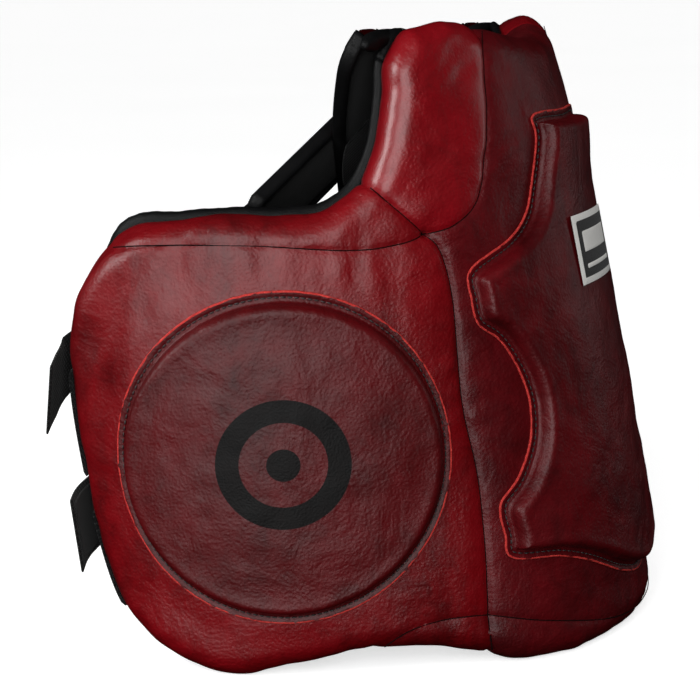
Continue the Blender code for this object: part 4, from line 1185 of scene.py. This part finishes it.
def build_keeper(finish):
    """The flat diamond of webbing cloth under the crossing, with a turned edge."""
    middle = np.array(STRAP_TOP.lerp(STRAP_END, -STRAP_TOP.x / (STRAP_END.x - STRAP_TOP.x)))
    run = STRAP_END - STRAP_TOP
    down = np.array(Vector((0.0, run.y, run.z)).normalized())
    wide = np.array([1.0, 0.0, 0.0])
    out = np.cross(down, wide)
    out *= math.copysign(1.0, out[1])
    angles = circle(48)
    shape = 1.0 / (np.abs(np.cos(angles)) ** 1.25 + np.abs(np.sin(angles)) ** 1.25) ** (1 / 1.25)
    rings = []
    for scale, level in ((0.30, -0.0034), (0.70, -0.0034), (0.93, -0.0032), (0.985, -0.0036), (1.0, -0.0028),
                         (0.985, -0.0020), (0.93, -0.0018), (0.3, -0.0018)):
        reach = shape[:, None] * scale
        rings.append(middle + wide * KEEPER_HALF_WIDE * reach * np.cos(angles)[:, None]
                     + down * KEEPER_HALF_TALL * reach * np.sin(angles)[:, None] + out * (level - 0.0004))
    piece = add_mesh("crossing_keeper", *tube(rings, lambda i: rings[i]), finish["webbing"])
    place(piece, HARNESS, "black_webbing", ["strap_keeper"])


def build_waist_strap(finish):
    line = smooth_line(np.vstack([WAIST_PLAN, mirrored(WAIST_PLAN)[::-1][1:]]), 0.006)
    middle, half = (WAIST_LOW + WAIST_HIGH) / 2, (WAIST_HIGH - WAIST_LOW) / 2
    up = np.array([0.0, math.sin(LEAN), math.cos(LEAN)])
    sag = 0.004 * noise(np.linspace(0, 5, len(line)), np.zeros(len(line)), 81)
    centres = np.column_stack([line, np.full(len(line), middle) + sag * 0.4])
    widths = np.tile(up * half, (len(line), 1))
    normals = frame_normals(centres, widths)
    strap = ribbon("waist_strap_web", centres, widths, normals, 0.0, WEB_THICK, finish["webbing"])
    place(strap, "waist_strap", "black_webbing", ["waist_strap"])
    tail = slice(len(line) - 14, len(line) - 1)
    hook = ribbon("waist_hook_tape", centres[tail], widths[tail] * 0.84, normals[tail], -0.0016, -0.0001,
                  finish["loop"])
    place(hook, "waist_strap", "hook_and_loop", ["waist_strap_hook_patch"])


def build_landings(finish):
    """Webbing patches wrapped over each wing's rear edge, sewn down along their borders."""
    turn = np.radians(np.linspace(38.0, 132.0, 15))
    for side, name in ((-1, "right"), (1, "left")):
        for part, (low, high) in (("waist_landing", WAIST_LANDING), ("strap_landing", STRAP_LANDING)):
            rows = np.flatnonzero((EDGE[:, 0] * side > 0.40) & (EDGE[:, 1] > low) & (EDGE[:, 1] < high))
            rows = rows[np.argsort(EDGE[rows, 1])]
            rings = []
            for k in rows:
                ends = min(k - rows.min(), rows.max() - k)
                lift = 0.0026 if ends > 0 else 0.0012
                inset, level = rounded_edge(turn, lift)
                places = EDGE[k] + inset[:, None] * EDGE_IN[k]
                rings.append(skin(places[:, 0], places[:, 1], level))
            faces = grid_faces(len(rings), len(turn))
            piece = add_mesh(f"{name}_{part}_tape", np.vstack(rings), faces, finish["webbing"])
            thicken(piece, 0.0016)
            place(piece, f"{name}_wing", "hook_and_loop", [f"{name}_{part}"])


def thicken(piece, amount):
    solid = piece.modifiers.new("thickness", "SOLIDIFY")
    solid.thickness = amount
    solid.offset = 0.0


def build_shoulder_rolls(finish):
    """The rolled joins on the shoulder tops that the straps turn on."""
    angles = circle(14)
    for side, name in ((-1, "right"), (1, "left")):
        ends = np.linspace(ROLL_INNER, ROLL_OUTER, 24) * side

        def ring(i):
            taper = min(1.0, 0.35 + 0.2 * min(i, len(ends) - 1 - i))
            r = ROLL_R * taper
            drop = -0.004 * (2 * i / (len(ends) - 1) - 1) ** 2
            return np.array([(ends[i], ROLL_Y + r * math.cos(a), ROLL_Z + drop + r * math.sin(a))
                             for a in angles])

        piece = add_mesh(f"{name}_shoulder_roll", *tube(ends, ring), finish["binding"])
        place(piece, "chest", "black_binding", [f"{name}_shoulder_fold"])


# Floor and light

def build_stage(finish):
    mesh = bpy.data.meshes.new("floor")
    reach = 150.0
    mesh.from_pydata([(-reach, -reach, 0), (reach, -reach, 0), (reach, reach, 0), (-reach, reach, 0)], [],
                     [(0, 1, 2, 3)])
    mesh.materials.append(finish)
    floor = bpy.data.objects.new("floor", mesh)
    floor.location.z = -0.0005
    floor.visible_glossy = False
    floor.visible_diffuse = False
    bpy.context.scene.collection.objects.link(floor)
    floor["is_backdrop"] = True


def softbox(name, azimuth, height, distance, wide, tall, power, aim=0.25):
    """A rectangular light on a bearing: 0 is in front, and positive goes to the wearer's right."""
    data = bpy.data.lights.new(name, "AREA")
    data.shape = "RECTANGLE"
    data.size, data.size_y = wide, tall
    data.energy = power
    light = bpy.data.objects.new(name, data)
    turn = math.radians(azimuth)
    light.location = (-math.sin(turn) * distance, -math.cos(turn) * distance, height)
    to = Vector((0.0, 0.0, aim)) - light.location
    light.rotation_euler = to.to_track_quat("-Z", "Y").to_euler()
    bpy.context.scene.collection.objects.link(light)


def daylight(name, towards, spread, energy):
    """Even light from one direction, which leaves no highlight of its own."""
    data = bpy.data.lights.new(name, "SUN")
    data.energy = energy
    data.angle = math.radians(spread)
    light = bpy.data.objects.new(name, data)
    light.rotation_euler = Vector(towards).to_track_quat("Z", "Y").to_euler()
    light.visible_glossy = False
    bpy.context.scene.collection.objects.link(light)


def light_scene():
    softbox("key", 76.0, 0.60, 1.9, 1.40, 1.8, 34.0)
    softbox("rear_fill", 130.0, 1.20, 2.0, 0.80, 1.1, 30.0)
    softbox("front_strip", -40.0, 0.8, 2.2, 0.50, 1.4, 3.0)
    daylight("overhead", (-0.60, -0.22, 0.77), 50.0, 1.6)
    daylight("fill", (0.35, -0.55, 0.75), 120.0, 0.42)
    daylight("back_fill", (0.10, 0.80, 0.60), 120.0, 0.42)
    world = bpy.data.worlds.new("world")
    world.use_nodes = True
    world.node_tree.nodes["Background"].inputs["Color"].default_value = (1.0, 1.0, 1.0, 1.0)
    world.node_tree.nodes["Background"].inputs["Strength"].default_value = 1.0
    bpy.context.scene.world = world
    world.cycles_visibility.glossy = False
    world.cycles_visibility.diffuse = False
    bpy.context.scene.view_settings.view_transform = "Standard"


def write_sizes():
    boxes = {"cad": CAD_BOX, "visual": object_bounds()}
    {name: [[float(x) for x in corner] for corner in box] for name, box in boxes.items()}


def main():
    make_camera()
    finish = make_materials()
    build_skin(finish)
    build_seam_lines(finish)
    build_lining(finish)
    build_binding(finish)
    build_centre_pad(finish)
    build_label(finish)
    for side, name in ((-1, "right"), (1, "left")):
        build_target(side, name, finish)
    build_landings(finish)
    build_shoulder_rolls(finish)
    build_straps(finish)
    build_waist_strap(finish)
    build_stage(finish["floor"])
    light_scene()
    write_sizes()


main()
